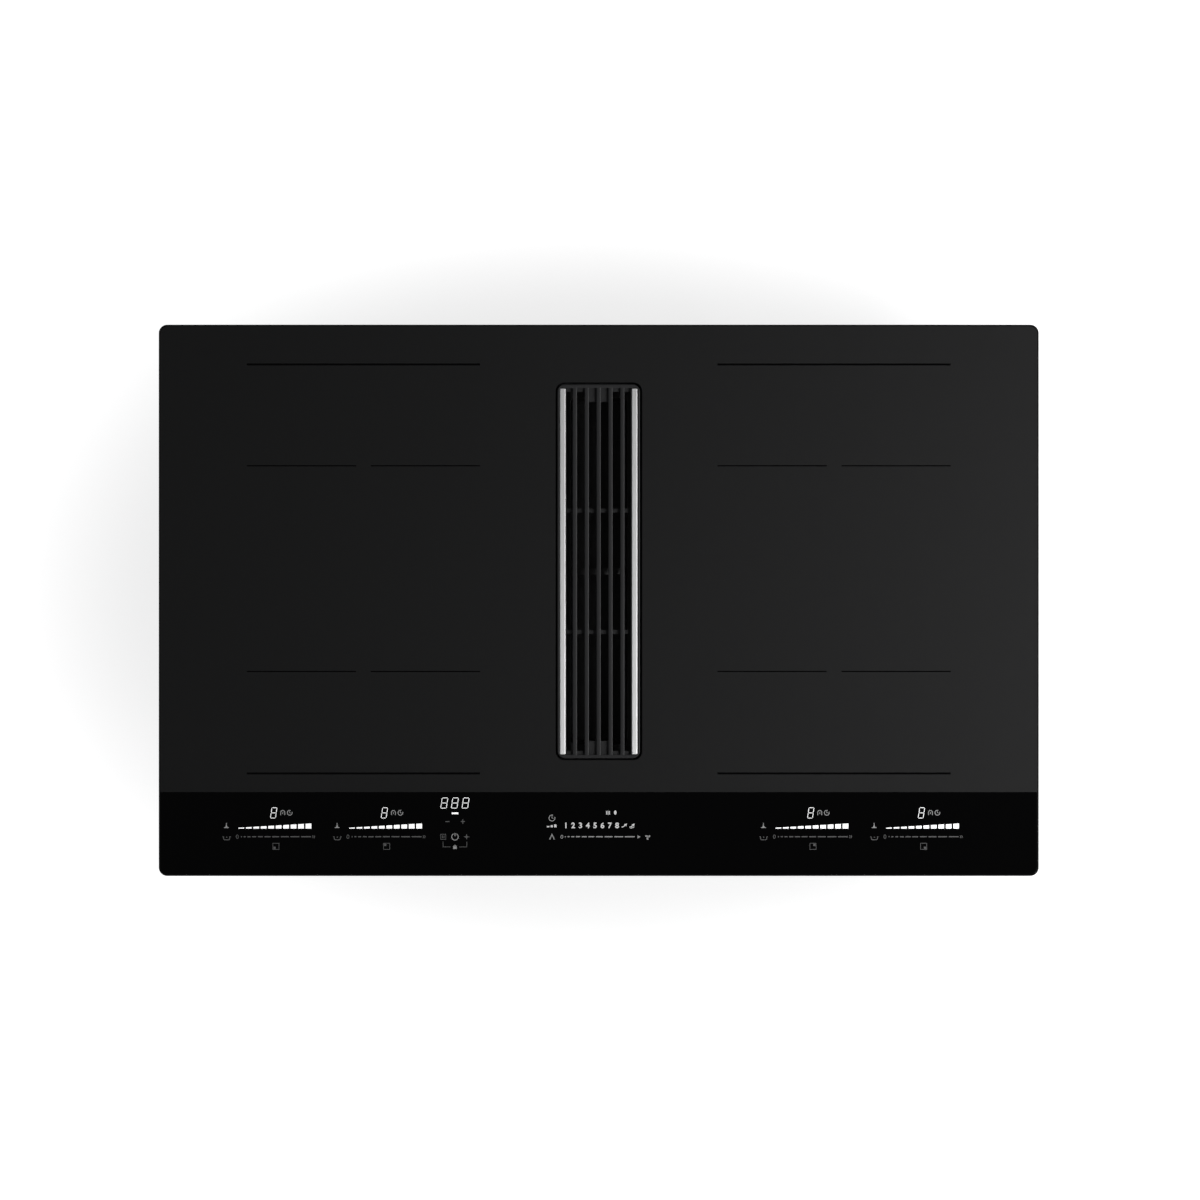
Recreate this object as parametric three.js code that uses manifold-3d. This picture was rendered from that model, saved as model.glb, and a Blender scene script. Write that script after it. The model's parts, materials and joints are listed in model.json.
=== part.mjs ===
// Downdraft induction cooktop for building into a worktop: a glass plate with four cooking
// zones, a slotted grille over an intake throat, and a radial blower under the casing.
//
// Frame: millimetres, +X to the right, +Y to the rear, +Z up. The origin is the centre of
// the outline, at the underside of the blower housing.

import * as THREE from 'three';
import { mergeVertices } from 'three/addons/utils/BufferGeometryUtils.js';
import Module from 'manifold-3d';

const wasm = await Module();
wasm.setup();

// ---- Driving dimensions ----

const GAP = 0.3; // left between pieces that touch
const HEIGHT = 210; // blower underside to top of the glass
const GLASS = { width: 830, depth: 520, thick: 4, corner: 8, bevel: 1.2 };
const GLASS_UNDER = HEIGHT - GLASS.thick;
const CUTOUT = { width: 807, depth: 492 }; // hole in the worktop
const SLOT = { width: 81, length: 355.3, y: 27.4, corner: 8 }; // opening in the glass
const SEAL = { width: 10, thick: 2.5 };

const CASING = { width: 790, depth: 474, corner: 8, flange: 6, sheet: 1.2, floor: 150, fold: 2 };
const CASING_TOP = GLASS_UNDER - 1.4;
const CASING_INSIDE = CASING.floor + CASING.sheet + GAP; // where inner pieces stand
const VENT = { width: 4.5, pitch: 11, reach: 30, count: 5 };
const WALL_VENT = { width: 5, pitch: 18, height: 24, z: 164, count: 6, x: 190 };

const ZONE = { x: 222, rearY: 126.9, frontY: -67.1, width: 220, depth: 193 };
const COIL = {
  halfWidth: 100, halfDepth: 87, turns: 6, pitch: 10.5, wire: 8.8, height: 3.5, z: 199.9, cornerSteps: 2,
};
const INSULATION = { margin: 8, length: 390, corner: 10, hole: 10, low: 203.7, high: 205.7 };
const SENSOR = { foot: 12, neck: 8.5, tip: 7, drop: 3, ease: 1.5 };
const CARRIER = { width: 206, depth: 180, thick: 1.6, corner: 60, z: 198, hole: 9 };
const FERRITE = { count: 6, inner: 34, outer: 84, width: 9, height: 4 };
const RAIL = {
  inner: 178, outer: 290, front: -150, rear: 215, width: 14, thick: 1.5, z: 186, legWide: 10, legDeep: 6,
};
const TONGUE = { root: 50, bend: 20, tip: 8, width: 10, thick: 1 };

const BOARD = { thick: 1.6, z: 156, corner: 3, leg: 6, edge: 8 };
const BOARD_TOP = BOARD.z + BOARD.thick;
const POWER_BOARD = { x: 192.5, width: 265, depth: 280 };
const CHOKE = { x: 20, width: 28, depth: 44, height: 24, rows: [-95, -20, 55] };
const RELAY = { x: 112, width: 26, depth: 16, height: 16, rows: [-105, -75, -45, -15] };
const PLUG_ROW = { x: 70, width: 90, depth: 14, height: 11, rows: [112] };
const TRANSFORMER = { x: 66, width: 36, depth: 22, height: 14, rows: [-112] };
const CAPACITOR = { x: 70, radius: 20, height: 20, rows: [-60, 10] };
const SMALL_CAN = { x: 112, radius: 11, height: 26, rows: [60] };
const FILTER_BOARD = { x: 360, width: 52, depth: 280, edge: 6 };
const LINE_CHOKE = { x: 0, width: 32, depth: 44, height: 22, rows: [-90] };
const FILM_CAPACITOR = { x: 0, width: 30, depth: 36, height: 18, rows: [60] };
const MAINS_PLUG = { x: 0, width: 34, depth: 14, height: 14, rows: [112] };
const RING_CHOKE = { x: 0, radius: 17, height: 22, rows: [-20] };
const TOUCH = {
  y: -211.5, width: 690, depth: 43, low: 190, high: 196, floor: 2, wall: 2, legs: [70, 200, 330],
};
const DISPLAY = { half: 38, reach: 14, places: [-305, -200, 0, 200, 305], timer: -135, timerHalf: 16 };
const SINK = { x: 120, y: 25, width: 46, length: 210, base: 5, fin: 1.6, height: 24, fins: 7 };
const FAN = { x: 125, y: 190, size: 80, height: 22, bore: 36, wall: 2, inlet: 27, boss: 9, bossDrop: 2.5 };
const ROTOR = {
  radius: 33, eye: 23, blades: 7, blade: 1.2, curve: 0.35, hub: 12, hubTop: 9, height: 13.5, plate: 2,
};

const GRILLE = { width: 77.7, length: 352.7, corner: 7, rim: 2, floor: 196.3, top: 209.8, ease: 0.6 };
const SLAT = { width: 4, pitch: 11.2, front: -145.7, rear: 200.3, under: 199.5, tab: 3.6, longTab: 13 };
const TAB_Z = 206; // top of the low end tabs and of the slots' ends
const CROSS_RIB = { width: 3.8, offset: 57.2, top: 204 };
const TRIM = { x: 33.9, width: 5.3, length: 346, seat: 203.7, top: 211, chamfer: 0.8 };

const THROAT = {
  wall: 3, top: 203.5, grilleSeat: 196, filterSeat: 188, flange: 8.7, foot: 12, plate: 2,
};
const GASKET = { outer: 18, inner: 7, corner: 12 };
const FILTER_MOUTH = { width: 68, length: 342, corner: 5 };
const THROAT_BORE = { width: 60, length: 334, corner: 4 };
const FILTER = { flange: 66, width: 56, length: 330, floor: 136, draft: 8, wall: 1.5, corner: 4, rim: 2 };
const GRIP = { half: 3, deep: 4 };
const FILTER_BAY = { count: 6, pitch: 52, length: 44, low: 144, high: 181 };
const MESH_THICK = 1.2;
const DRIP = { width: 56, length: 328, floor: 111, height: 20, wall: 1.2, corner: 5, foot: 3 };

const HOUSING = { height: 97, wall: 2.5, rear: 237 };
const BLOWER = { x: -50, y: -62 }; // the blower's axis
const SCROLL = { start: 104, end: 159, tongue: 70, outside: 88, steps: 26 }; // angles in degrees
const PLATE = { left: -186, right: 126, front: -216, corner: 20 }; // flange round the blower
const HOOD = { left: -178, right: 118, front: -208, rear: 205, wall: 2.5, corner: 16, chamfer: 4 };
const HOOD_RIB = { start: 30, pitch: 70, reach: 4, thick: 3, below: 12 };
const COVER_THICK = 2.7;
const COVER_LOW = HOUSING.height + GAP;
const COVER = { high: COVER_LOW + COVER_THICK, posts: [-112, 167], postWide: 40, postDeep: 8 };
const BELL = { hole: 83, lip: 85, lipTop: 106, lipWall: 2.5, throat: 73, throatLow: 83, wall: 1.5 };
const WHEEL = { inner: 77, outer: 92, floor: 18, plate: 2, top: 85, blades: 36, blade: 1.3, curve: 0.15 };
const HUB = { radius: 44, wall: 2.5, top: 54, shoulder: 7 };
const SHAFT = { radius: 4, low: 6 };
const MOTOR = { radius: 38, shoulder: 4, top: 44, armWide: 14, armThick: 2, eye: 9 };
const BUSH = { radius: 7, height: 5, circle: 56, count: 3, web: 3 };
const DUCT = { width: 222, height: 89, corner: 10, wall: 2, length: 18, z: 49, flange: 7 };
const COLLAR_THICK = 3;
const OUTLET_SEAL = { front: 243, rear: 251, thick: 3 };

const TERMINAL = { left: 240, right: 350, front: 162, rear: 228, low: 100, wall: 2 };
const HINGE = { y: 229.2, z: 146.3, pin: 1.2, bore: 1.5, knuckle: 2.8, ear: 24 };
const INLET = { radius: 9, y: 200, z: 124 }; // hole for the supply cable
const LID = { thick: 2.2, foot: 0.5, top: 4 };
const BLOCK = { width: 84, front: 185, rear: 207, height: 18, cells: 6, pitch: 13.5, cell: 9, floor: 8 };
const CONTROL_BOX = { x: -310, y: 170, width: 120, depth: 100, low: 118, wall: 2, corner: 6 };
const CLIP = { y: 150, width: 30, sheet: 0.8, low: 160, height: 40, bulge: 7 };

// ---- Finishes ----

const finish = (color, roughness, metalness = 0) =>
  new THREE.MeshStandardMaterial({ color, roughness, metalness });

const FINISHES = {
  glass: () => finish(0x1c1c1e, 0.35),
  blackMetal: () => finish(0x2c2c2c, 0.5, 0.3),
  stainless: () => finish(0xc4c4c4, 0.3, 1),
  galvanised: () => finish(0x9a9d9e, 0.45, 0.9),
  springSteel: () => finish(0x8c8c8a, 0.35, 1),
  aluminium: () => finish(0xb4b6b8, 0.4, 1),
  blackPlastic: () => finish(0x1d1d1f, 0.6),
  greyPlastic: () => finish(0x6a6d70, 0.6),
  whitePlastic: () => finish(0xd8d8d4, 0.5),
  rubber: () => finish(0x171717, 0.9),
  foam: () => finish(0x242424, 0.95),
  silicone: () => finish(0x101010, 0.7),
  copper: () => finish(0xa4623a, 0.4, 0.9),
  felt: () => finish(0xcfc8b8, 0.95),
  board: () => finish(0x1f5a38, 0.5),
};

// ---- Solids from three.js geometry ----

// A closed geometry as a solid. Its faces are turned round if they point inwards.
function solid(geometry) {
  const loose = geometry.index ? geometry.toNonIndexed() : geometry;
  const bare = new THREE.BufferGeometry();
  bare.setAttribute('position', loose.getAttribute('position'));
  const welded = mergeVertices(bare, 1e-3);
  const corners = welded.index.array;
  const faces = [];
  for (let i = 0; i < corners.length; i += 3) {
    const [a, b, c] = corners.slice(i, i + 3);
    if (a !== b && b !== c && c !== a) faces.push(a, b, c);
  }
  const make = (triVerts) =>
    new wasm.Manifold(
      new wasm.Mesh({
        numProp: 3,
        vertProperties: welded.attributes.position.array,
        triVerts: new Uint32Array(triVerts),
      }),
    );
  const made = make(faces);
  return made.volume() > 0 ? made : make(faces.reverse());
}

const join = (first, ...others) => others.reduce((sum, item) => sum.add(item), first);
const cut = (base, ...tools) => tools.reduce((rest, tool) => rest.subtract(tool), base);

// A box between two limits on each axis, given in either order.
function block([x0, x1], [y0, y1], [z0, z1]) {
  const box = new THREE.BoxGeometry(Math.abs(x1 - x0), Math.abs(y1 - y0), Math.abs(z1 - z0));
  return solid(box.translate((x0 + x1) / 2, (y0 + y1) / 2, (z0 + z1) / 2));
}

// A rounded rectangle as a flat shape.
function panel(width, depth, radius, x = 0, y = 0) {
  const [left, right] = [x - width / 2 + radius, x + width / 2 - radius];
  const [front, rear] = [y - depth / 2 + radius, y + depth / 2 - radius];
  const shape = new THREE.Shape();
  shape.absarc(right, rear, radius, 0, Math.PI / 2);
  shape.absarc(left, rear, radius, Math.PI / 2, Math.PI);
  shape.absarc(left, front, radius, Math.PI, 1.5 * Math.PI);
  shape.absarc(right, front, radius, 1.5 * Math.PI, 2 * Math.PI);
  shape.closePath();
  return shape;
}

const polygon = (points) => new THREE.Shape(points.map(([u, v]) => new THREE.Vector2(u, v)));

function extruded(shape, depth, curveSegments) {
  return new THREE.ExtrudeGeometry(shape, { depth, curveSegments, bevelEnabled: false });
}

// A flat shape raised between two heights.
function slab(shape, low, high, curveSegments = 3) {
  return solid(extruded(shape, high - low, curveSegments).translate(0, 0, low));
}

// A shape drawn in X and Z, run along Y between two places.
function runAlongY(shape, front, rear, curveSegments = 3) {
  const run = extruded(shape, rear - front, curveSegments);
  return solid(run.rotateX(Math.PI / 2).translate(0, rear, 0));
}

// A shape drawn in Y and Z, run along X between two places.
function runAlongX(shape, left, right, curveSegments = 3) {
  const axes = new THREE.Matrix4().makeBasis(
    new THREE.Vector3(0, 1, 0),
    new THREE.Vector3(0, 0, 1),
    new THREE.Vector3(1, 0, 0),
  );
  return solid(extruded(shape, right - left, curveSegments).applyMatrix4(axes).translate(left, 0, 0));
}

// A profile of [radius, height] points turned about the vertical through (x, y).
function turned(profile, segments = 32, x = 0, y = 0) {
  const points = profile.map(([radius, height]) => new THREE.Vector2(radius, height));
  return solid(new THREE.LatheGeometry(points, segments).rotateX(Math.PI / 2).translate(x, y, 0));
}

const disc = (radius, low, high, x = 0, y = 0, segments = 20) =>
  turned([[0, low], [radius, low], [radius, high], [0, high]], segments, x, y);

// The corner points of a rounded rectangle at one height, for a loft.
function outline(width, depth, radius, z, x = 0, y = 0, steps = 3) {
  const points = [];
  for (let corner = 0; corner < 4; corner += 1) {
    const cx = x + (corner === 0 || corner === 3 ? 1 : -1) * (width / 2 - radius);
    const cy = y + (corner < 2 ? 1 : -1) * (depth / 2 - radius);
    for (let step = 0; step <= steps; step += 1) {
      const angle = ((corner + step / steps) * Math.PI) / 2;
      const [px, py] = [cx + radius * Math.cos(angle), cy + radius * Math.sin(angle)];
      points.push(new THREE.Vector3(px, py, z));
    }
  }
  return points;
}

// A skin over loops with equal numbers of points: closed into a ring, or capped at both ends.
function loft(loops, ring = false) {
  const count = loops[0].length;
  const bands = ring ? loops.length : loops.length - 1;
  const faces = [];
  for (let band = 0; band < bands; band += 1) {
    const low = band * count;
    const high = ((band + 1) % loops.length) * count;
    for (let i = 0; i < count; i += 1) {
      const next = (i + 1) % count;
      faces.push(low + i, low + next, high + next, low + i, high + next, high + i);
    }
  }
  const last = (loops.length - 1) * count;
  for (let i = 1; i < count - 1 && !ring; i += 1) {
    faces.push(0, i + 1, i, last, last + i, last + i + 1);
  }
  const geometry = new THREE.BufferGeometry().setFromPoints(loops.flat());
  geometry.setIndex(faces);
  return solid(geometry);
}

// A flat strip of even thickness bent along a line of [u, v] points.
function ribbon(points, thick) {
  const line = points.map(([u, v]) => new THREE.Vector2(u, v));
  const directions = line.slice(1).map((point, i) => point.clone().sub(line[i]).normalize());
  const side = line.map((point, i) => {
    const before = directions[Math.max(i - 1, 0)];
    const after = directions[Math.min(i, directions.length - 1)];
    const middle = before.clone().add(after).normalize();
    const reach = thick / middle.dot(after);
    return new THREE.Vector2(point.x - middle.y * reach, point.y + middle.x * reach);
  });
  return new THREE.Shape([...line, ...side.reverse()]);
}

// ---- Assembly tree ----

const cooktop = new THREE.Group();

function subassembly() {
  const group = new THREE.Group();
  cooktop.add(group);
  return group;
}

function place(group, name, body, material, [x, y, z] = [0, 0, 0], turn = 0) {
  const cells = body.getMesh();
  const geometry = new THREE.BufferGeometry();
  geometry.setAttribute('position', new THREE.BufferAttribute(cells.vertProperties, 3));
  geometry.setIndex(new THREE.BufferAttribute(cells.triVerts, 1));
  geometry.computeVertexNormals();
  const mesh = new THREE.Mesh(geometry, material());
  mesh.name = name;
  mesh.position.set(x, y, z);
  mesh.rotation.z = turn;
  group.add(mesh);
  return mesh;
}

const SIDES = [['left', -1], ['right', 1]];

// ---- Glass, its bond to the casing and its seal on the worktop ----

function glassPlate() {
  const edge = (inset, z) =>
    outline(GLASS.width - 2 * inset, GLASS.depth - 2 * inset, GLASS.corner, z);
  const opening = (grow, z) =>
    outline(SLOT.width + 2 * grow, SLOT.length + 2 * grow, SLOT.corner, z, 0, SLOT.y);
  const ease = GLASS.bevel / 2;
  return loft([
    edge(0, GLASS_UNDER),
    edge(0, HEIGHT - GLASS.bevel),
    edge(GLASS.bevel, HEIGHT),
    opening(ease, HEIGHT),
    opening(0, HEIGHT - ease),
    opening(0, GLASS_UNDER),
  ], true);
}

// A flat ring between two rounded rectangles about the same centre.
function flatRing(outer, inner, low, high, y = 0) {
  return loft([
    outline(...outer, low, 0, y),
    outline(...outer, high, 0, y),
    outline(...inner, high, 0, y),
    outline(...inner, low, 0, y),
  ], true);
}

const flangeWidth = CASING.width + 2 * CASING.flange;
const flangeDepth = CASING.depth + 2 * CASING.flange;
const glassWork = subassembly();
place(glassWork, 'glass_plate', glassPlate(), FINISHES.glass);
place(glassWork, 'glass_bond', flatRing(
  [flangeWidth, flangeDepth, CASING.corner],
  [CASING.width, CASING.depth, CASING.corner],
  CASING_TOP + GAP,
  GLASS_UNDER - GAP,
), FINISHES.silicone);
place(glassWork, 'worktop_seal', flatRing(
  [CUTOUT.width + 2 * SEAL.width, CUTOUT.depth + 2 * SEAL.width, CASING.corner],
  [CUTOUT.width, CUTOUT.depth, CASING.corner],
  GLASS_UNDER - GAP - SEAL.thick,
  GLASS_UNDER - GAP,
), FINISHES.foam);

// ---- Casing tray: folded sheet with a throat hole and cooling slots ----

function casingTray() {
  const wall = (inset, z) => {
    const [width, depth] = [CASING.width - 2 * inset, CASING.depth - 2 * inset];
    return outline(width, depth, CASING.corner, z);
  };
  const { sheet, fold, flange } = CASING;
  const shell = loft([
    wall(fold, CASING.floor),
    wall(0, CASING.floor + fold),
    wall(0, CASING_TOP - sheet),
    wall(-flange, CASING_TOP - sheet),
    wall(-flange, CASING_TOP),
    wall(sheet, CASING_TOP),
    wall(sheet, CASING.floor + fold + sheet),
    wall(fold + sheet, CASING.floor + sheet),
  ]);
  const floorCut = [CASING.floor - 1, CASING.floor + 3];
  const holeWidth = SLOT.width + 2 * THROAT.wall + 1;
  const holeLength = SLOT.length + 2 * THROAT.wall + 1;
  const throatHole = slab(panel(holeWidth, holeLength, 12, 0, SLOT.y), ...floorCut);
  const vents = [];
  for (const [, side] of SIDES) {
    for (let i = 0; i < VENT.count; i += 1) {
      const dx = (i - (VENT.count - 1) / 2) * VENT.pitch;
      const half = Math.sqrt(VENT.reach ** 2 - dx ** 2);
      const x = side * FAN.x + dx;
      vents.push(block([x - VENT.width / 2, x + VENT.width / 2], [FAN.y - half, FAN.y + half], floorCut));
    }
    for (let i = 0; i < WALL_VENT.count; i += 1) {
      const x = side * WALL_VENT.x + (i - (WALL_VENT.count - 1) / 2) * WALL_VENT.pitch;
      const y = -CASING.depth / 2;
      const across = [x - WALL_VENT.width / 2, x + WALL_VENT.width / 2];
      vents.push(block(across, [y - 2, y + 4], [WALL_VENT.z, WALL_VENT.z + WALL_VENT.height]));
    }
  }
  return cut(shell, throatHole, ...vents);
}

const casing = subassembly();
place(casing, 'casing_tray', casingTray(), FINISHES.galvanised);

// ---- Coils: insulation, windings, carriers with ferrite bars, sensors, spring rails ----

// One unbroken winding: an oval spiral of flat wire, drawn from the inside out.
function windingLoops() {
  const { cornerSteps } = COIL;
  const loops = [];
  const growth = COIL.turns * COIL.pitch;
  const radius = COIL.halfDepth - growth - 5;
  for (let corner = 0; corner < 4 * COIL.turns; corner += 1) {
    for (let step = 0; step <= cornerSteps; step += 1) {
      const progress = (corner + step / cornerSteps) / 4;
      const grown = progress * COIL.pitch;
      const angle = progress * 2 * Math.PI;
      const quadrant = corner % 4;
      const signX = quadrant === 0 || quadrant === 3 ? 1 : -1;
      const signY = quadrant < 2 ? 1 : -1;
      const cx = signX * (COIL.halfWidth - growth - radius);
      const cy = signY * (COIL.halfDepth - growth - radius);
      const ring = [[-0.5, 0], [0.5, 0], [0.5, 1], [-0.5, 1]].map(([across, up]) => {
        const reach = radius + grown + across * COIL.wire - COIL.wire / 2;
        const [x, y] = [cx + reach * Math.cos(angle), cy + reach * Math.sin(angle)];
        return new THREE.Vector3(x, y, up * COIL.height);
      });
      loops.push(ring);
    }
  }
  return loops;
}

// The least gap between neighbouring turns, measured on the winding's own points.
function leastGap(loops) {
  const perTurn = 4 * (COIL.cornerSteps + 1);
  let least = Infinity;
  for (let i = 0; i + perTurn < loops.length; i += 1) {
    least = Math.min(least, loops[i][1].distanceTo(loops[i + perTurn][0]));
  }
  return least;
}

function coilCarrier() {
  const plate = slab(panel(CARRIER.width, CARRIER.depth, CARRIER.corner), 0, CARRIER.thick);
  const ferrites = Array.from({ length: FERRITE.count }, (unused, i) => {
    const length = FERRITE.outer - FERRITE.inner;
    const bar = new THREE.BoxGeometry(length, FERRITE.width, FERRITE.height + 0.5);
    bar.translate((FERRITE.outer + FERRITE.inner) / 2, 0, 0.25 - FERRITE.height / 2);
    return solid(bar.rotateZ(((i + 0.5) * 2 * Math.PI) / FERRITE.count));
  });
  return cut(join(plate, ...ferrites), disc(CARRIER.hole, -1, CARRIER.thick + 1, 0, 0, 10));
}

// A rubber pad that holds the temperature probe against the glass.
function coilSensor() {
  const under = CARRIER.z - GAP;
  const top = GLASS_UNDER - GAP;
  const { foot, neck, tip, drop, ease } = SENSOR;
  const base = [[0, under - drop], [foot, under - drop], [foot, under], [neck, under]];
  return turned([...base, [neck, top - ease], [tip, top], [0, top]], 10);
}

function insulation(side) {
  const { margin, length, corner, hole, low, high } = INSULATION;
  const x = side * ZONE.x;
  const middle = (ZONE.rearY + ZONE.frontY) / 2;
  const sheet = slab(panel(ZONE.x - margin, length, corner, x, middle), low, high);
  const holes = [ZONE.rearY, ZONE.frontY].map((y) => disc(hole, low - 1, high + 1, x, y, 12));
  return cut(sheet, ...holes);
}

// A frame on four legs with spring tongues under each coil carrier.
function coilRail(side) {
  const { inner, outer, front, rear, width, thick, z, legWide, legDeep } = RAIL;
  const [wide, long] = [outer - inner, rear - front];
  const [x, y] = [(side * (inner + outer)) / 2, (front + rear) / 2];
  const bay = (toRear) =>
    slab(panel(wide - width, long / 2 - width, 4, x, y + (toRear * long) / 4), z - 1, z + 3, 1);
  const frame = slab(panel(wide + width, long + width, 4, x, y), z, z + thick, 1);
  const legs = [];
  const tongues = [];
  const tongueTop = CARRIER.z - FERRITE.height - GAP;
  for (const railX of [side * inner, side * outer]) {
    const acrossLeg = [railX - legWide / 2, railX + legWide / 2];
    for (const legY of [front, rear]) {
      legs.push(block(acrossLeg, [legY - legDeep / 2, legY + legDeep / 2], [CASING_INSIDE, z + 1]));
    }
    for (const zoneY of [ZONE.frontY, ZONE.rearY]) {
      for (const lean of [-1, 1]) {
        const high = tongueTop - TONGUE.thick;
        const path = [
          [zoneY + lean * TONGUE.root, z + thick / 3],
          [zoneY + lean * TONGUE.bend, high],
          [zoneY + lean * TONGUE.tip, high],
        ];
        const bent = ribbon(lean < 0 ? path : path.reverse(), TONGUE.thick);
        tongues.push(runAlongX(bent, railX - TONGUE.width / 2, railX + TONGUE.width / 2));
      }
    }
  }
  return join(cut(frame, bay(-1), bay(1)), ...legs, ...tongues);
}

const winding = windingLoops();
console.log('least gap between turns of a winding, mm:', leastGap(winding).toFixed(2));
const coils = subassembly();
for (const [sideName, side] of SIDES) {
  for (const [rowName, y] of [['rear', ZONE.rearY], ['front', ZONE.frontY]]) {
    const at = (z) => [side * ZONE.x, y, z];
    const label = `${sideName}_${rowName}`;
    place(coils, `coil_winding_${label}`, loft(winding), FINISHES.copper, at(COIL.z));
    place(coils, `coil_carrier_${label}`, coilCarrier(), FINISHES.aluminium, at(CARRIER.z));
    place(coils, `coil_sensor_${label}`, coilSensor(), FINISHES.whitePlastic, at(0));
  }
  place(coils, `coil_rail_${sideName}`, coilRail(side), FINISHES.springSteel);
  place(coils, `insulation_${sideName}`, insulation(side), FINISHES.felt);
}

// ---- Electronics: power boards, heat sinks, cooling fans, touch board ----

// A circuit board on four legs. Its components stand in rows: boxes, or cans where they are round.
function circuitBoard({ width, depth }, edge, side, components) {
  const sheet = slab(panel(width, depth, BOARD.corner), BOARD.z, BOARD_TOP, 2);
  const legs = [];
  for (const x of [edge - width / 2, width / 2 - edge]) {
    for (const y of [edge - depth / 2, depth / 2 - edge]) {
      const half = BOARD.leg / 2;
      legs.push(block([x - half, x + half], [y - half, y + half], [CASING_INSIDE, BOARD.z + 1]));
    }
  }
  const standing = components.flatMap((item) =>
    item.rows.map((y) => {
      const x = side * item.x;
      const [low, high] = [BOARD_TOP - 0.5, BOARD_TOP + item.height];
      if (item.radius) return disc(item.radius, low, high, x, y, 12);
      const across = [x - item.width / 2, x + item.width / 2];
      return block(across, [y - item.depth / 2, y + item.depth / 2], [low, high]);
    }));
  return join(sheet, ...legs, ...standing);
}

const powerBoard = (side) => circuitBoard(
  POWER_BOARD,
  BOARD.edge,
  side,
  [CHOKE, RELAY, PLUG_ROW, TRANSFORMER, CAPACITOR, SMALL_CAN],
);

// An extruded comb: a base with upright fins.
function heatSink() {
  const half = SINK.width / 2;
  const space = (SINK.width - SINK.fin) / (SINK.fins - 1);
  const line = [[half, 0]];
  for (let i = SINK.fins - 1; i >= 0; i -= 1) {
    const left = -half + i * space;
    line.push([left + SINK.fin, SINK.height], [left, SINK.height]);
    if (i > 0) {
      line.push([left, SINK.base], [left - space + SINK.fin, SINK.base]);
    }
  }
  line.push([-half, 0]);
  return runAlongY(polygon(line), -SINK.length / 2, SINK.length / 2);
}

// A blower case open below at its eye and in front towards the heat sink.
function fanFrame() {
  const { size, height, bore, wall, inlet, boss, bossDrop } = FAN;
  const body = slab(panel(size, size, 6), 0, height);
  const chamber = disc(bore, wall, height - wall);
  const eye = disc(inlet, -1, wall + 1);
  const outlet = block([-bore + 4, bore - 4], [-size / 2 - 1, 0], [wall + 1, height - wall - 1]);
  const under = height - wall;
  const bearing = disc(boss, under - bossDrop, under + 0.5, 0, 0, 12);
  return join(cut(body, chamber, eye, outlet), bearing);
}

// Blades between two radii. Each follows a curve that leans forward towards its tip.
function bladeRow({ count, inner, outer, thick, curve, low, high, steps = 3 }) {
  const section = (start) => {
    const point = (share, offset) => {
      const radius = inner + (outer - inner) * share;
      const angle = start + curve * share * share + offset / radius;
      return [radius * Math.cos(angle), radius * Math.sin(angle)];
    };
    const along = Array.from({ length: steps + 1 }, (unused, i) => i / steps);
    const front = along.map((share) => point(share, thick / 2));
    const back = along.reverse().map((share) => point(share, -thick / 2));
    return polygon([...front, ...back].reverse());
  };
  return Array.from({ length: count }, (unused, i) =>
    slab(section((i * 2 * Math.PI) / count), low, high));
}

function fanRotor() {
  const { radius, eye, blades, blade, curve, hub, hubTop, height, plate } = ROTOR;
  const cone = turned([
    [0, 0],
    [hub, 0],
    [hub, hubTop],
    [eye, height - plate],
    [radius, height - plate],
    [radius, height],
    [0, height],
  ], 16);
  const row = bladeRow({
    count: blades,
    inner: eye - 4,
    outer: radius,
    thick: blade,
    curve,
    low: 1,
    high: height - 1,
    steps: 2,
  });
  return join(cone, ...row);
}

// A shallow tray on legs under the control strip.
function touchCarrier() {
  const { y, width, depth, low, high, floor, wall, legs } = TOUCH;
  const base = slab(panel(width, depth, 5, 0, y), low, high);
  const recess = slab(panel(width - 2 * wall, depth - 2 * wall, 4, 0, y), low + floor, high + 1);
  const feet = legs.flatMap((x) => [-x, x]).map((x) =>
    block([x - 4, x + 4], [y - 6, y + 6], [CASING_INSIDE, low + 1]));
  return join(cut(base, recess), ...feet);
}

// The touch board lies in the tray and holds its displays up to the glass.
function touchBoard() {
  const { y, width, depth, floor, wall } = TOUCH;
  const low = TOUCH.low + floor + GAP;
  const edge = wall + 1;
  const board = slab(panel(width - 2 * edge, depth - 2 * edge, 3, 0, y), low, low + BOARD.thick);
  const along = [y - DISPLAY.reach, y + DISPLAY.reach];
  const raised = [low + 1, GLASS_UNDER - GAP];
  const displays = DISPLAY.places.map((x) => block([x - DISPLAY.half, x + DISPLAY.half], along, raised));
  const { timer, timerHalf } = DISPLAY;
  return join(board, ...displays, block([timer - timerHalf, timer + timerHalf], along, raised));
}

const electronics = subassembly();
for (const [sideName, side] of SIDES) {
  const boardAt = [side * POWER_BOARD.x, 0, 0];
  place(electronics, `power_board_${sideName}`, powerBoard(side), FINISHES.board, boardAt);
  const sinkAt = [side * SINK.x, SINK.y, BOARD_TOP + GAP];
  place(electronics, `heat_sink_${sideName}`, heatSink(), FINISHES.aluminium, sinkAt);
  const fanAt = [side * FAN.x, FAN.y, CASING_INSIDE];
  place(electronics, `cooling_fan_frame_${sideName}`, fanFrame(), FINISHES.blackPlastic, fanAt);
  const rotorAt = [side * FAN.x, FAN.y, CASING_INSIDE + FAN.wall + 1];
  place(electronics, `cooling_fan_rotor_${sideName}`, fanRotor(), FINISHES.greyPlastic, rotorAt);
}
const filterParts = [LINE_CHOKE, FILM_CAPACITOR, MAINS_PLUG, RING_CHOKE];
const mainsBoard = circuitBoard(FILTER_BOARD, FILTER_BOARD.edge, 1, filterParts);
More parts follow.
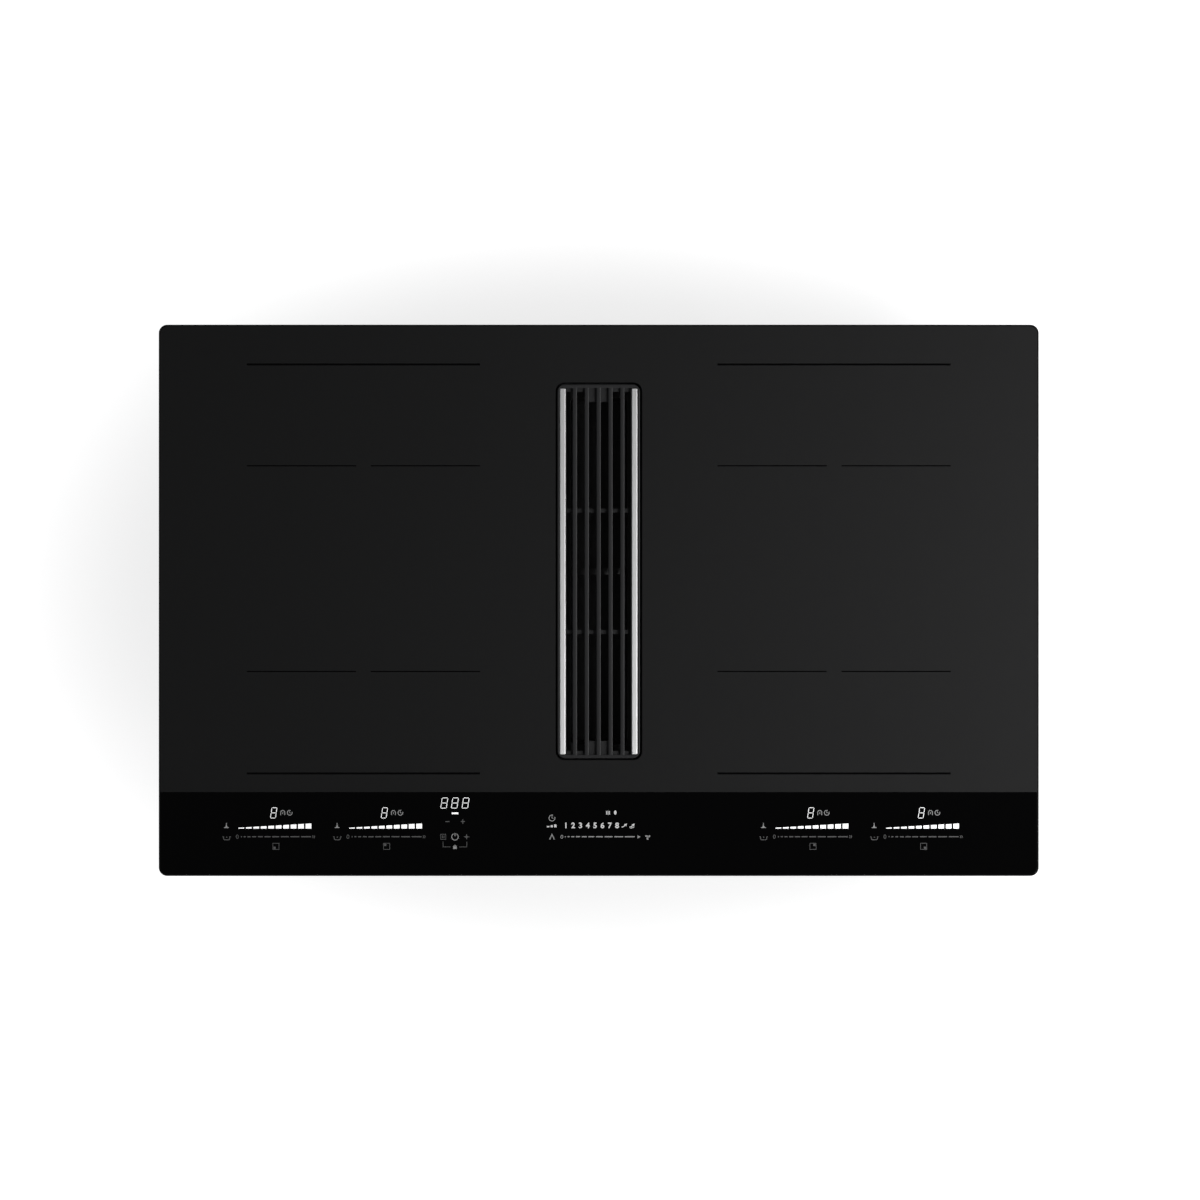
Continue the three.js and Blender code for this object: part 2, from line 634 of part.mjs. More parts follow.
place(electronics, 'mains_filter_board', mainsBoard, FINISHES.board, [FILTER_BOARD.x, 0, 0]);
place(electronics, 'touch_carrier', touchCarrier(), FINISHES.whitePlastic);
place(electronics, 'touch_board', touchBoard(), FINISHES.board);

// ---- Intake: throat, plenum hood, gasket, filter and drip tray ----

// The throat's walls step out from the bore to the filter's seat and to the grille's seat.
function intakeChannel() {
  const { wall, top, grilleSeat, filterSeat, flange, foot, plate } = THROAT;
  const low = CASING.floor;
  const mouth = { width: SLOT.width - 0.4, length: SLOT.length - 0.4, corner: SLOT.corner };
  const tube = ({ width, length, corner }, grow, from, to) =>
    slab(panel(width + 2 * grow, length + 2 * grow, corner + grow, 0, SLOT.y), from, to);
  return cut(
    join(
      tube(THROAT_BORE, foot, low, low + plate),
      tube(THROAT_BORE, wall, low, filterSeat),
      tube(FILTER_MOUTH, wall, filterSeat - wall, grilleSeat),
      tube(mouth, wall, grilleSeat - wall, top),
      tube(mouth, wall + flange, top - plate, top),
    ),
    tube(mouth, 0, grilleSeat, top + 1),
    tube(FILTER_MOUTH, 0, filterSeat, grilleSeat + 1),
    tube(THROAT_BORE, 0, low - 1, filterSeat + 1),
  );
}

// The hood under the casing leads the air from the throat round the drip tray to the blower.
function intakeHood() {
  const { left, right, front, rear, wall, corner, chamfer } = HOOD;
  const low = COVER.high + GAP;
  const high = CASING.floor - GAP;
  const shell = (inset, z) => outline(
    right - left - 2 * inset,
    rear - front - 2 * inset,
    corner - inset / 2,
    z,
    (left + right) / 2,
    (front + rear) / 2,
  );
  const outside = loft([shell(0, low), shell(0, high - chamfer), shell(chamfer, high)]);
  const hollow = loft([
    shell(wall, low - 1),
    shell(wall, high - chamfer - wall),
    shell(chamfer + wall, high - wall),
  ]);
  const flangeRear = rear + (front - PLATE.front);
  const flangeSize = [PLATE.right - PLATE.left, flangeRear - PLATE.front];
  const flangeMiddle = [(PLATE.left + PLATE.right) / 2, (flangeRear + PLATE.front) / 2];
  const foot = slab(panel(...flangeSize, PLATE.corner, ...flangeMiddle), low, low + COVER_THICK);
  const ribs = [];
  const { start, pitch, reach, thick, below } = HOOD_RIB;
  for (let y = front + start; y < rear - start / 2; y += pitch) {
    const along = [y - thick / 2, y + thick / 2];
    ribs.push(block([left - reach, left + 1], along, [low + 1, high - below]));
    ribs.push(block([right - 1, right + reach], along, [low + 1, high - below]));
  }
  const { width, length } = THROAT_BORE;
  const mouth = slab(panel(width, length, THROAT_BORE.corner, 0, SLOT.y), high - wall - 1, high + 1);
  return cut(join(outside, foot, ...ribs), hollow, mouth);
}

function greaseFilter() {
  const { flange, width, length, floor, draft, wall, corner, rim } = FILTER;
  const seat = THROAT.filterSeat + GAP;
  const section = (inset, z, lean) => {
    const size = [width - lean - 2 * inset, length - lean - 2 * inset];
    return outline(...size, corner, z, 0, SLOT.y);
  };
  const body = join(
    loft([section(0, floor, draft), section(0, seat + rim, 0)]),
    slab(panel(flange, length + flange - width, corner, 0, SLOT.y), seat, seat + rim),
  );
  const hollow = loft([section(wall, floor + wall, draft), section(wall, seat + rim + 1, 0)]);
  const bays = [];
  for (let i = 0; i < FILTER_BAY.count; i += 1) {
    const y = SLOT.y + (i - (FILTER_BAY.count - 1) / 2) * FILTER_BAY.pitch;
    const along = [y - FILTER_BAY.length / 2, y + FILTER_BAY.length / 2];
    bays.push(block([-width, width], along, [FILTER_BAY.low, FILTER_BAY.high]));
  }
  const reach = width / 2 - 2;
  const gripAlong = [SLOT.y - GRIP.half, SLOT.y + GRIP.half];
  const grip = block([-reach, reach], gripAlong, [seat - GRIP.deep, seat]);
  return join(cut(body, hollow, ...bays), grip);
}

// An expanded-metal sheet that leans against the inside of the filter's long wall.
function filterMesh(side) {
  const { width, floor, draft, wall } = FILTER;
  const top = THROAT.filterSeat + GAP + FILTER.rim;
  const inside = (z) => width / 2 - wall - GAP - (draft / 2) * ((top - z) / (top - floor));
  const [low, high] = [floor + wall + 1.5, FILTER_BAY.high + 2];
  const line = [
    [inside(low) - MESH_THICK, low],
    [inside(low), low],
    [inside(high), high],
    [inside(high) - MESH_THICK, high],
  ];
  const half = FILTER.length / 2 - 12;
  return runAlongY(polygon(line.map(([x, z]) => [side * x, z])), SLOT.y - half, SLOT.y + half);
}

function dripTray() {
  const { width, length, floor, height, wall, corner, foot } = DRIP;
  const section = (inset, z) =>
    outline(width - 2 * inset, length - 2 * inset, corner, z, 0, SLOT.y);
  return loft([
    section(foot, floor),
    section(0, floor + foot),
    section(0, floor + height),
    section(wall, floor + height),
    section(wall, floor + foot + wall),
    section(foot + wall, floor + wall),
  ]);
}

const intake = subassembly();
place(intake, 'intake_channel', intakeChannel(), FINISHES.blackPlastic);
place(intake, 'intake_hood', intakeHood(), FINISHES.blackPlastic);
place(intake, 'intake_gasket', flatRing(
  [SLOT.width + GASKET.outer, SLOT.length + GASKET.outer, GASKET.corner],
  [SLOT.width + GASKET.inner, SLOT.length + GASKET.inner, GASKET.corner - 2],
  THROAT.top + GAP,
  GLASS_UNDER - GAP,
  SLOT.y,
), FINISHES.rubber);
place(intake, 'grease_filter', greaseFilter(), FINISHES.blackPlastic);
for (const [sideName, side] of SIDES) {
  place(intake, `filter_mesh_${sideName}`, filterMesh(side), FINISHES.aluminium);
}
place(intake, 'drip_tray', dripTray(), FINISHES.stainless);

// ---- Grille: rim, slats, low end tabs and cross ribs, with two bright bars let in ----

function grille() {
  const { width, length, corner, rim, floor, top, ease } = GRILLE;
  const frame = (inset, z) => outline(width - 2 * inset, length - 2 * inset, corner, z, 0, SLOT.y);
  const body = loft([frame(0, floor), frame(0, top - ease), frame(ease, top)]);
  const ends = [SLAT.front, SLAT.rear];
  const slatHalf = SLAT.width / 2;
  const barInner = TRIM.x - TRIM.width / 2 - GAP;
  const slotEnd = barInner - ease;
  const cuts = [];
  for (const [, side] of SIDES) {
    cuts.push(block([side * barInner, side * (width / 2 - rim)], ends, [TRIM.seat, top + 1]));
    for (let slot = 0; slot < 3; slot += 1) {
      const near = slot * SLAT.pitch + slatHalf;
      const far = slot < 2 ? near + SLAT.pitch - SLAT.width : slotEnd;
      const short = slot === 0 ? SLAT.longTab : SLAT.tab;
      const across = [side * near, side * far];
      cuts.push(block(across, [SLAT.front + short, SLAT.rear - short], [floor - 1, top + 1]));
      cuts.push(block(across, ends, [TAB_Z, top + 1]));
    }
  }
  const tabEnds = [SLAT.front + SLAT.tab, SLAT.rear - SLAT.tab];
  const underside = block([-slotEnd, slotEnd], tabEnds, [floor - 1, SLAT.under]);
  const ribs = [-1, 1].map((end) => {
    const y = SLOT.y + end * CROSS_RIB.offset;
    const along = [y - CROSS_RIB.width / 2, y + CROSS_RIB.width / 2];
    return block([-barInner, barInner], along, [SLAT.under - 0.5, CROSS_RIB.top]);
  });
  return join(cut(body, ...cuts, underside), ...ribs);
}

function trimBar() {
  const half = TRIM.width / 2;
  const [low, top] = [TRIM.seat + GAP, TRIM.top];
  const edge = TRIM.chamfer;
  const line = [
    [-half, low],
    [half, low],
    [half, top - edge],
    [half - edge, top],
    [edge - half, top],
    [-half, top - edge],
  ];
  const reach = TRIM.length / 2 - GAP;
  return runAlongY(polygon(line), -reach, reach);
}

place(intake, 'grille', grille(), FINISHES.blackMetal);
for (const [sideName, side] of SIDES) {
  const at = [side * TRIM.x, (SLAT.front + SLAT.rear) / 2, 0];
  place(intake, `grille_trim_${sideName}`, trimBar(), FINISHES.stainless, at);
}

// ---- Blower: scroll housing, cover with bell mouth, wheel, motor and duct spigot ----

// The scroll's outline: a spiral that widens from the tongue, then the outlet diffuser.
function scrollShape(grow, fromDegrees, rear) {
  const turn = ((360 - SCROLL.tongue) * Math.PI) / 180;
  const rate = Math.log(SCROLL.end / SCROLL.start) / turn;
  const from = (fromDegrees * Math.PI) / 180;
  const tongue = (SCROLL.tongue * Math.PI) / 180;
  const points = [];
  for (let i = 0; i <= SCROLL.steps; i += 1) {
    const angle = from + ((2 * Math.PI - from) * i) / SCROLL.steps;
    const radius = SCROLL.start * Math.exp(rate * (angle - tongue)) + grow;
    points.push([BLOWER.x + radius * Math.cos(angle), BLOWER.y + radius * Math.sin(angle)]);
  }
  const right = BLOWER.x + SCROLL.end + grow;
  points.push([right, rear], [-right, rear]);
  return polygon(points);
}

const plateMiddle = [(PLATE.left + PLATE.right) / 2, (PLATE.front + HOUSING.rear) / 2];
const plateSize = [PLATE.right - PLATE.left, HOUSING.rear - PLATE.front];

const collarHalf = DUCT.width / 2 + DUCT.flange;

function blowerBase() {
  const { height, wall, rear } = HOUSING;
  const shell = slab(scrollShape(wall, SCROLL.outside, rear), 0, height);
  const rim = slab(panel(...plateSize, PLATE.corner, ...plateMiddle), height - wall, height);
  const collar = block([-collarHalf, collarHalf], [rear - COLLAR_THICK, rear], [0, height]);
  const cavity = slab(scrollShape(0, SCROLL.tongue, rear + 5), wall, height + 1);
  return cut(join(shell, rim, collar), cavity);
}

// The cover closes the scroll from above. A bell mouth leads the air into the wheel's eye.
function blowerCover() {
  const { high, posts, postWide, postDeep } = COVER;
  const low = COVER_LOW;
  const { hole, lip, lipTop, lipWall, throat, throatLow, wall } = BELL;
  const plate = slab(panel(...plateSize, PLATE.corner, ...plateMiddle), low, high);
  const bell = turned([
    [lip, low],
    [lip, lipTop],
    [lip - lipWall, lipTop],
    [hole - 1, high + 1],
    [throat + 5, low - 2.3],
    [throat + 0.5, throatLow + 7],
    [throat - wall, throatLow],
    [throat, throatLow],
    [throat + 3, throatLow + 7.5],
    [lip, low],
  ], 28, BLOWER.x, BLOWER.y);
  const standing = posts.map((y) => block(
    [-postWide / 2, postWide / 2],
    [y - postDeep / 2, y + postDeep / 2],
    [high - 1, DRIP.floor - GAP],
  ));
  return join(cut(plate, disc(hole, low - 1, high + 1, BLOWER.x, BLOWER.y, 28)), bell, ...standing);
}

// The hub is a dome over the motor, with the wheel's back plate round it.
function impellerHub() {
  const { outer, floor, plate, blades } = WHEEL;
  const { radius, wall, top, shoulder } = HUB;
  const inside = radius - wall;
  return turned([
    [0, top - wall],
    [inside - shoulder, top - wall],
    [inside, top - wall - shoulder],
    [inside, floor],
    [outer, floor],
    [outer, floor + plate],
    [radius, floor + plate],
    [radius, top - shoulder],
    [radius - shoulder, top],
    [0, top],
  ], blades);
}

// The cage of forward-curved blades stands on the back plate, between two hoops.
function impeller() {
  const { inner, outer, floor, plate, top, blades, blade, curve } = WHEEL;
  const low = floor + plate + GAP;
  const hoop = (from, to) =>
    turned([[inner, from], [outer, from], [outer, to], [inner, to], [inner, from]], blades);
  const row = bladeRow({
    count: blades,
    inner: inner + 0.4,
    outer: outer - 0.6,
    thick: blade,
    curve,
    low: low + 1,
    high: top - 1,
    steps: 2,
  });
  return join(hoop(low, low + plate), hoop(top - plate, top), ...row);
}

// A rubber ring with three feet that carries the motor's arms.
function motorMount() {
  const { radius, height, circle, count, web } = BUSH;
  const [inner, outer] = [circle - web, circle + web];
  const ring = turned([[inner, 0], [outer, 0], [outer, 2], [inner, 2], [inner, 0]], 24);
  const feet = Array.from({ length: count }, (unused, i) => {
    const angle = (i * 2 * Math.PI) / count;
    return disc(radius, 0, height, circle * Math.cos(angle), circle * Math.sin(angle), 12);
  });
  return join(ring, ...feet);
}

function blowerMotor() {
  const { radius, shoulder, top, armWide, armThick, eye } = MOTOR;
  const low = HOUSING.wall + BUSH.height + 2 * GAP;
  const arms = Array.from({ length: BUSH.count }, (unused, i) => {
    const angle = (i * 2 * Math.PI) / BUSH.count;
    const arm = new THREE.BoxGeometry(BUSH.circle, armWide, armThick);
    arm.translate(BUSH.circle / 2, 0, low + armThick / 2);
    const [x, y] = [BUSH.circle * Math.cos(angle), BUSH.circle * Math.sin(angle)];
    return join(solid(arm.rotateZ(angle)), disc(eye, low, low + armThick, x, y, 12));
  });
  const stator = turned([
    [0, low],
    [radius, low],
    [radius, top - shoulder],
    [radius - shoulder, top],
    [0, top],
  ], 24);
  return cut(join(stator, ...arms), disc(SHAFT.radius + 0.5, 0, top + 6, 0, 0, 12));
}

function outletSpigot() {
  const { width, height, corner, wall, length, z } = DUCT;
  const front = HOUSING.rear + GAP;
  const collar = (inset) => panel(width - 2 * inset, height - 2 * inset, corner - inset, 0, z);
  const face = front + HOUSING.wall;
  const flange = block([-collarHalf, collarHalf], [front, face], [0, HOUSING.height]);
  const tube = runAlongY(collar(0), front + 1, face + length);
  return cut(join(flange, tube), runAlongY(collar(wall), front - 1, face + length + 1));
}

function outletSeal() {
  const { width, height, corner, z } = DUCT;
  const { front, rear, thick } = OUTLET_SEAL;
  const ring = (grow) => panel(width + 2 * grow, height + 2 * grow, corner + grow, 0, z);
  return cut(runAlongY(ring(thick), front, rear), runAlongY(ring(GAP), front - 1, rear + 1));
}

const blower = subassembly();
place(blower, 'blower_base', blowerBase(), FINISHES.blackPlastic);
place(blower, 'blower_cover', blowerCover(), FINISHES.blackPlastic);
place(blower, 'outlet_spigot', outletSpigot(), FINISHES.blackPlastic);
place(blower, 'outlet_seal', outletSeal(), FINISHES.foam);
const rotating = [BLOWER.x, BLOWER.y, 0];
place(blower, 'impeller', impeller(), FINISHES.greyPlastic, rotating);
place(blower, 'impeller_hub', impellerHub(), FINISHES.greyPlastic, rotating);
const shaftTop = HUB.top - HUB.wall - GAP;
place(blower, 'motor_shaft', disc(SHAFT.radius, SHAFT.low, shaftTop, 0, 0, 12), FINISHES.stainless, rotating);
place(blower, 'blower_motor', blowerMotor(), FINISHES.galvanised, rotating);
const mountAt = [BLOWER.x, BLOWER.y, HOUSING.wall + GAP];
place(blower, 'motor_mount', motorMount(), FINISHES.rubber, mountAt);

// ---- Wiring boxes under the casing, and the clips that hold the cooktop in its cut-out ----

const boxTop = CASING.floor - GAP;

function circlePoints(radius, u, v, count = 12) {
  return Array.from({ length: count }, (unused, i) => {
    const angle = (i * 2 * Math.PI) / count;
    return [u + radius * Math.cos(angle), v + radius * Math.sin(angle)];
  });
}

// A round bar along X on the lid's hinge line.
const hingeBar = (radius, from, to) =>
  runAlongX(polygon(circlePoints(radius, HINGE.y, HINGE.z)), from, to);

function terminalBox() {
  const { left, right, front, rear, low, wall } = TERMINAL;
  const { y, z, knuckle, bore, ear } = HINGE;
  const body = block([left, right], [front, rear], [low, boxTop]);
  const hollow = block(
    [left + wall, right - wall],
    [front + wall, rear + 1],
    [low + wall, boxTop - wall],
  );
  const inlet = runAlongX(polygon(circlePoints(INLET.radius, INLET.y, INLET.z)), right - 3, right + 1);
  const notch = block([left - 1, right + 1], [rear - 3.4, rear + 1], [z - 4.2, boxTop + 1]);
  const ears = [[left, left + ear], [right - ear, right]].flatMap(([from, to]) => [
    hingeBar(knuckle, from, to),
    block([from, to], [rear - 5, y], [z - 2, z + 2]),
  ]);
  return cut(join(cut(body, hollow, inlet, notch), ...ears), hingeBar(bore, left - 1, right + 1));
}

// The lid hangs on its pin along the top and swings outwards and up.
function terminalCover() {
  const { left, right, rear, low } = TERMINAL;
  const { z, knuckle, bore, ear } = HINGE;
  const across = [rear + GAP, rear + GAP + LID.thick];
  const lid = block([left + 1, right - 1], across, [low + LID.foot, z - LID.top]);
  const [from, to] = [left + ear + 0.5, right - ear - 0.5];
  const web = block([from, to], across, [z - LID.top - 1, z - 1]);
  return cut(join(lid, hingeBar(knuckle, from, to), web), hingeBar(bore, from - 1, to + 1));
}

function terminalBlock() {
  const { width, front, rear, height, cells, pitch, cell, floor } = BLOCK;
  const middle = (TERMINAL.left + TERMINAL.right) / 2;
  const low = TERMINAL.low + TERMINAL.wall + GAP;
  const across = [middle - width / 2, middle + width / 2];
  const body = block(across, [front, rear], [low, low + height]);
  const hollows = Array.from({ length: cells }, (unused, i) => {
    const x = middle + (i - (cells - 1) / 2) * pitch;
    const depth = [front - 1, (front + rear) / 2];
    return block([x - cell / 2, x + cell / 2], depth, [low + floor, low + height + 1]);
  });
  return cut(body, ...hollows);
}

function controlBox() {
  const { x, y, width, depth, low, wall, corner } = CONTROL_BOX;
  const body = slab(panel(width, depth, corner, x, y), low, boxTop);
  const inside = panel(width - 2 * wall, depth - 2 * wall, corner - wall, x, y);
  return cut(body, slab(inside, low - 1, boxTop - wall));
}

function controlCover() {
  const { x, y, width, depth, low, wall, corner } = CONTROL_BOX;
  const top = low - GAP;
  const lid = slab(panel(width, depth, corner, x, y), top - wall, top);
  const inset = 2 * wall + 1;
  const spigot = panel(width - inset, depth - inset, corner - wall - 0.5, x, y);
  return join(lid, slab(spigot, top - 1, low + 2 * wall));
}

// A leaf spring folded over at the top, that bears on the edge of the cut-out.
function fixingClip() {
  const { width, sheet, height, bulge } = CLIP;
  const path = [
    [3, 8],
    [bulge, height - 18],
    [bulge, height - 10],
    [2.6, height],
    [0, height - 2],
    [0, 0],
  ];
  return runAlongY(ribbon(path, sheet), -width / 2, width / 2);
}

const services = subassembly();
place(services, 'terminal_box', terminalBox(), FINISHES.blackPlastic);
place(services, 'terminal_cover', terminalCover(), FINISHES.blackPlastic);
place(services, 'terminal_block', terminalBlock(), FINISHES.whitePlastic);
const pin = hingeBar(HINGE.pin, TERMINAL.left + 1, TERMINAL.right - 1);
place(services, 'terminal_pin', pin, FINISHES.stainless);
place(services, 'blower_control_box', controlBox(), FINISHES.greyPlastic);
place(services, 'blower_control_cover', controlCover(), FINISHES.greyPlastic);
for (const [sideName, side] of SIDES) {
  for (const [rowName, y] of [['rear', CLIP.y], ['front', -CLIP.y]]) {
    const at = [side * (CASING.width / 2 + CLIP.sheet + GAP), y, CLIP.low];
    const turn = side > 0 ? 0 : Math.PI;
    place(services, `fixing_clip_${sideName}_${rowName}`, fixingClip(), FINISHES.springSteel, at, turn);
  }
}

export default cooktop;
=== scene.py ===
"""Downdraft induction cooktop: its finishes, its fine pieces and the stage it is shown on.

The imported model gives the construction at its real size. Here the glass, the printed and lit
controls, the grille, the filter and the housings get their fine surfaces, all in metres and in
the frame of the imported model: +X to the right, +Y to the rear, +Z up.
"""

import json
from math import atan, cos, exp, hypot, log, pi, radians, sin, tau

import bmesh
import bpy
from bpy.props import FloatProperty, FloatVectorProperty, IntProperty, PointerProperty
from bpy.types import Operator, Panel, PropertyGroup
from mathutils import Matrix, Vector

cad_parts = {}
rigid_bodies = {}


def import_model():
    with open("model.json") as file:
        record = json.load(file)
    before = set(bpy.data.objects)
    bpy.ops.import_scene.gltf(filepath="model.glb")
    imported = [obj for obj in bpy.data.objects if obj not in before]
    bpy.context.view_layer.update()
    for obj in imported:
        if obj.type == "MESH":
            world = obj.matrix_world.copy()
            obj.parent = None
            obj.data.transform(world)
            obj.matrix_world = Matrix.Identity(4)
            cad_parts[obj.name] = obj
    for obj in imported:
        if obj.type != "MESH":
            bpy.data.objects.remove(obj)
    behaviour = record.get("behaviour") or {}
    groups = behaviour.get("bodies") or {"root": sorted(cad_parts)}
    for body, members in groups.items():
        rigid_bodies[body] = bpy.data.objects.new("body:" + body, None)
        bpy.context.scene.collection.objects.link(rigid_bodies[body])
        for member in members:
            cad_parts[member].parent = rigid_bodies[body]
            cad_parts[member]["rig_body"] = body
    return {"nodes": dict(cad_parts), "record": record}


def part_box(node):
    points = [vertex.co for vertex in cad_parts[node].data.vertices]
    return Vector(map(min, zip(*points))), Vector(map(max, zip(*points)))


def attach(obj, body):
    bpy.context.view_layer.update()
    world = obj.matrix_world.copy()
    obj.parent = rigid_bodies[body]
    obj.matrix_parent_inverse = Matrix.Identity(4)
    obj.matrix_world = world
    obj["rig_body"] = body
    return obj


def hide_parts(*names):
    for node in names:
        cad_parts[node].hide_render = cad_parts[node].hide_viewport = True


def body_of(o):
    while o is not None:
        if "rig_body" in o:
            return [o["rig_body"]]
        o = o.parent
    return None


bl_info = {
    "name": "Downdraft induction cooktop",
    "version": (1, 0, 0),
    "blender": (4, 5, 0),
    "location": "3D View > Sidebar > Cooktop",
    "description": "Builds the visible pieces and finishes of an induction cooktop with a downdraft grille",
    "category": "Object",
}

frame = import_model()

MM = 0.001
GLASS_LOW, GLASS_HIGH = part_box("glass_plate")
GRILLE_LOW, GRILLE_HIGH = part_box("grille")
TRIM_LOW, TRIM_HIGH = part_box("grille_trim_right")
SIDES = ("left", "right")
CORNERS = ("left_rear", "left_front", "right_rear", "right_front")
OVERLAP = 0.3 * MM


# ---- Sizes and colours that a user would change ----

def length(name, description, default):
    """A length or a place, kept in metres."""
    return FloatProperty(name=name, description=description, default=default, unit="LENGTH", precision=4)


def amount(name, description, default, least=1):
    """How many of a thing there are."""
    return IntProperty(name=name, description=description, default=default, min=least)


def power(name, description, default):
    """The power of a lamp, in watts."""
    return FloatProperty(name=name, description=description, default=default, min=0.0, unit="POWER")


def colour(name, description, default):
    return FloatVectorProperty(
        name=name, description=description, default=default, size=3, min=0.0, max=1.0, subtype="COLOR"
    )


class GlassSizes(PropertyGroup):
    corner: length("Corner radius", "Radius of the plate's four corners", 8 * MM)
    bevel: length("Bevel width", "Width of the ground bevel round the edge", 1.2 * MM)
    slot_width: length("Slot width", "Width of the opening for the grille", 81 * MM)
    slot_length: length("Slot length", "Length of the opening for the grille", 355.3 * MM)
    slot_middle: length("Slot middle", "Place of the opening's middle, towards the rear", 27.4 * MM)
    slot_corner: length("Slot corner", "Radius of the opening's corners", 8 * MM)
    matt_front: length("Matt area front", "Where the matt area ends and the gloss strip starts", -180.9 * MM)
    print_height: length("Print height", "How far a printed line stands above the glass", 0.06 * MM)


class ZoneSizes(PropertyGroup):
    inner: length("Inner end", "Where a zone's lines start, from the middle", 112 * MM)
    outer: length("Outer end", "Where a zone's lines end, from the middle", 332 * MM)
    rear: length("Rear line", "Place of the heavy line at the rear", 222.5 * MM)
    front: length("Front line", "Place of the heavy line at the front", -163.3 * MM)
    rear_middle: length("Rear middle line", "Place of the fine line through the rear zone", 126.9 * MM)
    front_middle: length("Front middle line", "Place of the fine line through the front zone", -67.1 * MM)
    heavy: length("Heavy line", "Width of the heavy lines", 1.9 * MM)
    fine: length("Fine line", "Width of the fine lines", 1.15 * MM)
    gap: length("Gap", "Gap in the fine lines at the middle of a zone", 14 * MM)


class ControlSizes(PropertyGroup):
    outer_group: length("Outer group", "Middle of the outer level groups, from the middle", 305.5 * MM)
    inner_group: length("Inner group", "Middle of the inner level groups, from the middle", 201.1 * MM)
    bars: amount("Level bars", "Bars in one level group", 10, 2)
    bar_pitch: length("Bar pitch", "Distance between neighbouring bars", 7.04 * MM)
    bar_width: length("Bar width", "Width of a bar", 5.4 * MM)
    bar_foot: length("Bar foot", "Place of the bars' lower edge", -215.3 * MM)
    bar_low: length("Lowest bar", "Height of the ramp at the first bar", 0.75 * MM)
    bar_high: length("Highest bar", "Height of the ramp at the last bar", 4.8 * MM)
    slider: length("Slider", "Place of the slider lines", -223.0 * MM)
    slider_start: length("Slider start", "Left end of a slider line, from its group's middle", -32 * MM)
    slider_end: length("Slider end", "Right end of a slider line, from its group's middle", 34 * MM)
    slider_width: length("Slider line", "Width of a slider line", 1.0 * MM)
    dashes: amount("Slider dashes", "Dashes in one slider line", 10, 2)
    dash_first: length("First dash", "Length of the first dash", 1.0 * MM)
    dash_gap: length("Dash gap", "Gap between two dashes", 1.6 * MM)
    stroke: length("Stroke", "Width of the symbols' lines", 0.7 * MM)


class GrilleSizes(PropertyGroup):
    corner: length("Corner radius", "Radius of the grille's corners", 7 * MM)
    rim: length("Rim", "Width of the rim", 2 * MM)
    slats: amount("Slats", "Number of slats", 5)
    pitch: length("Slat pitch", "Distance between neighbouring slats", 11.2 * MM)
    slat_width: length("Slat width", "Width of a slat", 4 * MM)
    slat_under: length("Slat underside", "Height of the slats' underside", 199.5 * MM)
    front: length("Slot front", "Front end of the slots", -145.7 * MM)
    rear: length("Slot rear", "Rear end of the slots", 200.3 * MM)
    seat: length("Trim seat", "Height that the bright bars sit at", 203.7 * MM)
    tab_top: length("Tab top", "Height of the low tabs at the slots' ends", 206 * MM)
    tab_short: length("Short tab", "Length of the outer tabs", 3.6 * MM)
    tab_long: length("Long tab", "Length of the tabs beside the middle slat", 13 * MM)
    rib_offset: length("Cross rib offset", "Distance of the cross ribs from the slot's middle", 57.2 * MM)
    rib_width: length("Cross rib width", "Width of a cross rib", 3.8 * MM)
    rib_top: length("Cross rib top", "Height of the cross ribs", 204 * MM)


class CasingSizes(PropertyGroup):
    flange: length("Flange", "How far the casing's upper edge stands out", 6 * MM)
    vents: amount("Vents", "Cooling slots on each side of the front wall", 6)
    vent_pitch: length("Vent pitch", "Distance between neighbouring cooling slots", 18 * MM)
    vent_middle: length("Vent middle", "Middle of a group of cooling slots, from the middle", 190 * MM)


class BlowerSizes(PropertyGroup):
    axis_x: length("Axis across", "Place of the blower's axis, to the right", -50 * MM)
    axis_y: length("Axis along", "Place of the blower's axis, to the rear", -62 * MM)
    scroll_start: length("Scroll start", "Inner radius of the scroll at its tongue", 104 * MM)
    scroll_end: length("Scroll end", "Inner radius of the scroll at its outlet", 159 * MM)
    tongue_angle: FloatProperty(
        name="Tongue angle", description="Where the scroll starts", default=radians(70.0), subtype="ANGLE"
    )
    wall: length("Wall", "Thickness of the housing", 2.5 * MM)
    wheel_inner: length("Wheel inside", "Inner radius of the blades", 77 * MM)
    wheel_outer: length("Wheel outside", "Outer radius of the blades", 92 * MM)
    blades: amount("Blades", "Blades of the wheel", 36, 3)
    duct_width: length("Duct width", "Width of the flat duct's spigot", 222 * MM)
    duct_height: length("Duct height", "Height of the flat duct's spigot", 89 * MM)


class FilterSizes(PropertyGroup):
    sheet: length("Sheet", "Thickness of the filter's sheet in its frame", 1.2 * MM)
    pitch: length("Strand pitch", "Length of one leg of a strand's zigzag", 3 * MM)
    row: length("Strand row", "Distance between neighbouring strands", 2.2 * MM)


class CoilSizes(PropertyGroup):
    half_width: length("Half width", "Half the width of a winding", 100 * MM)
    half_depth: length("Half depth", "Half the depth of a winding", 87 * MM)
    turns: amount("Turns", "Turns of a winding", 6)
    turn_pitch: length("Turn pitch", "Distance between neighbouring turns", 10.5 * MM)
    wire: length("Wire width", "Width of one turn", 8.8 * MM)
    ropes: amount("Ropes", "Ropes that lie side by side in one turn", 3)
    rope_gap: length("Rope pitch", "Distance between neighbouring ropes", 2.75 * MM)
    rope_radius: length("Rope radius", "Radius of a rope", 1.7 * MM)
    ferrite_height: length("Ferrite height", "Height of the ferrite bars", 4 * MM)


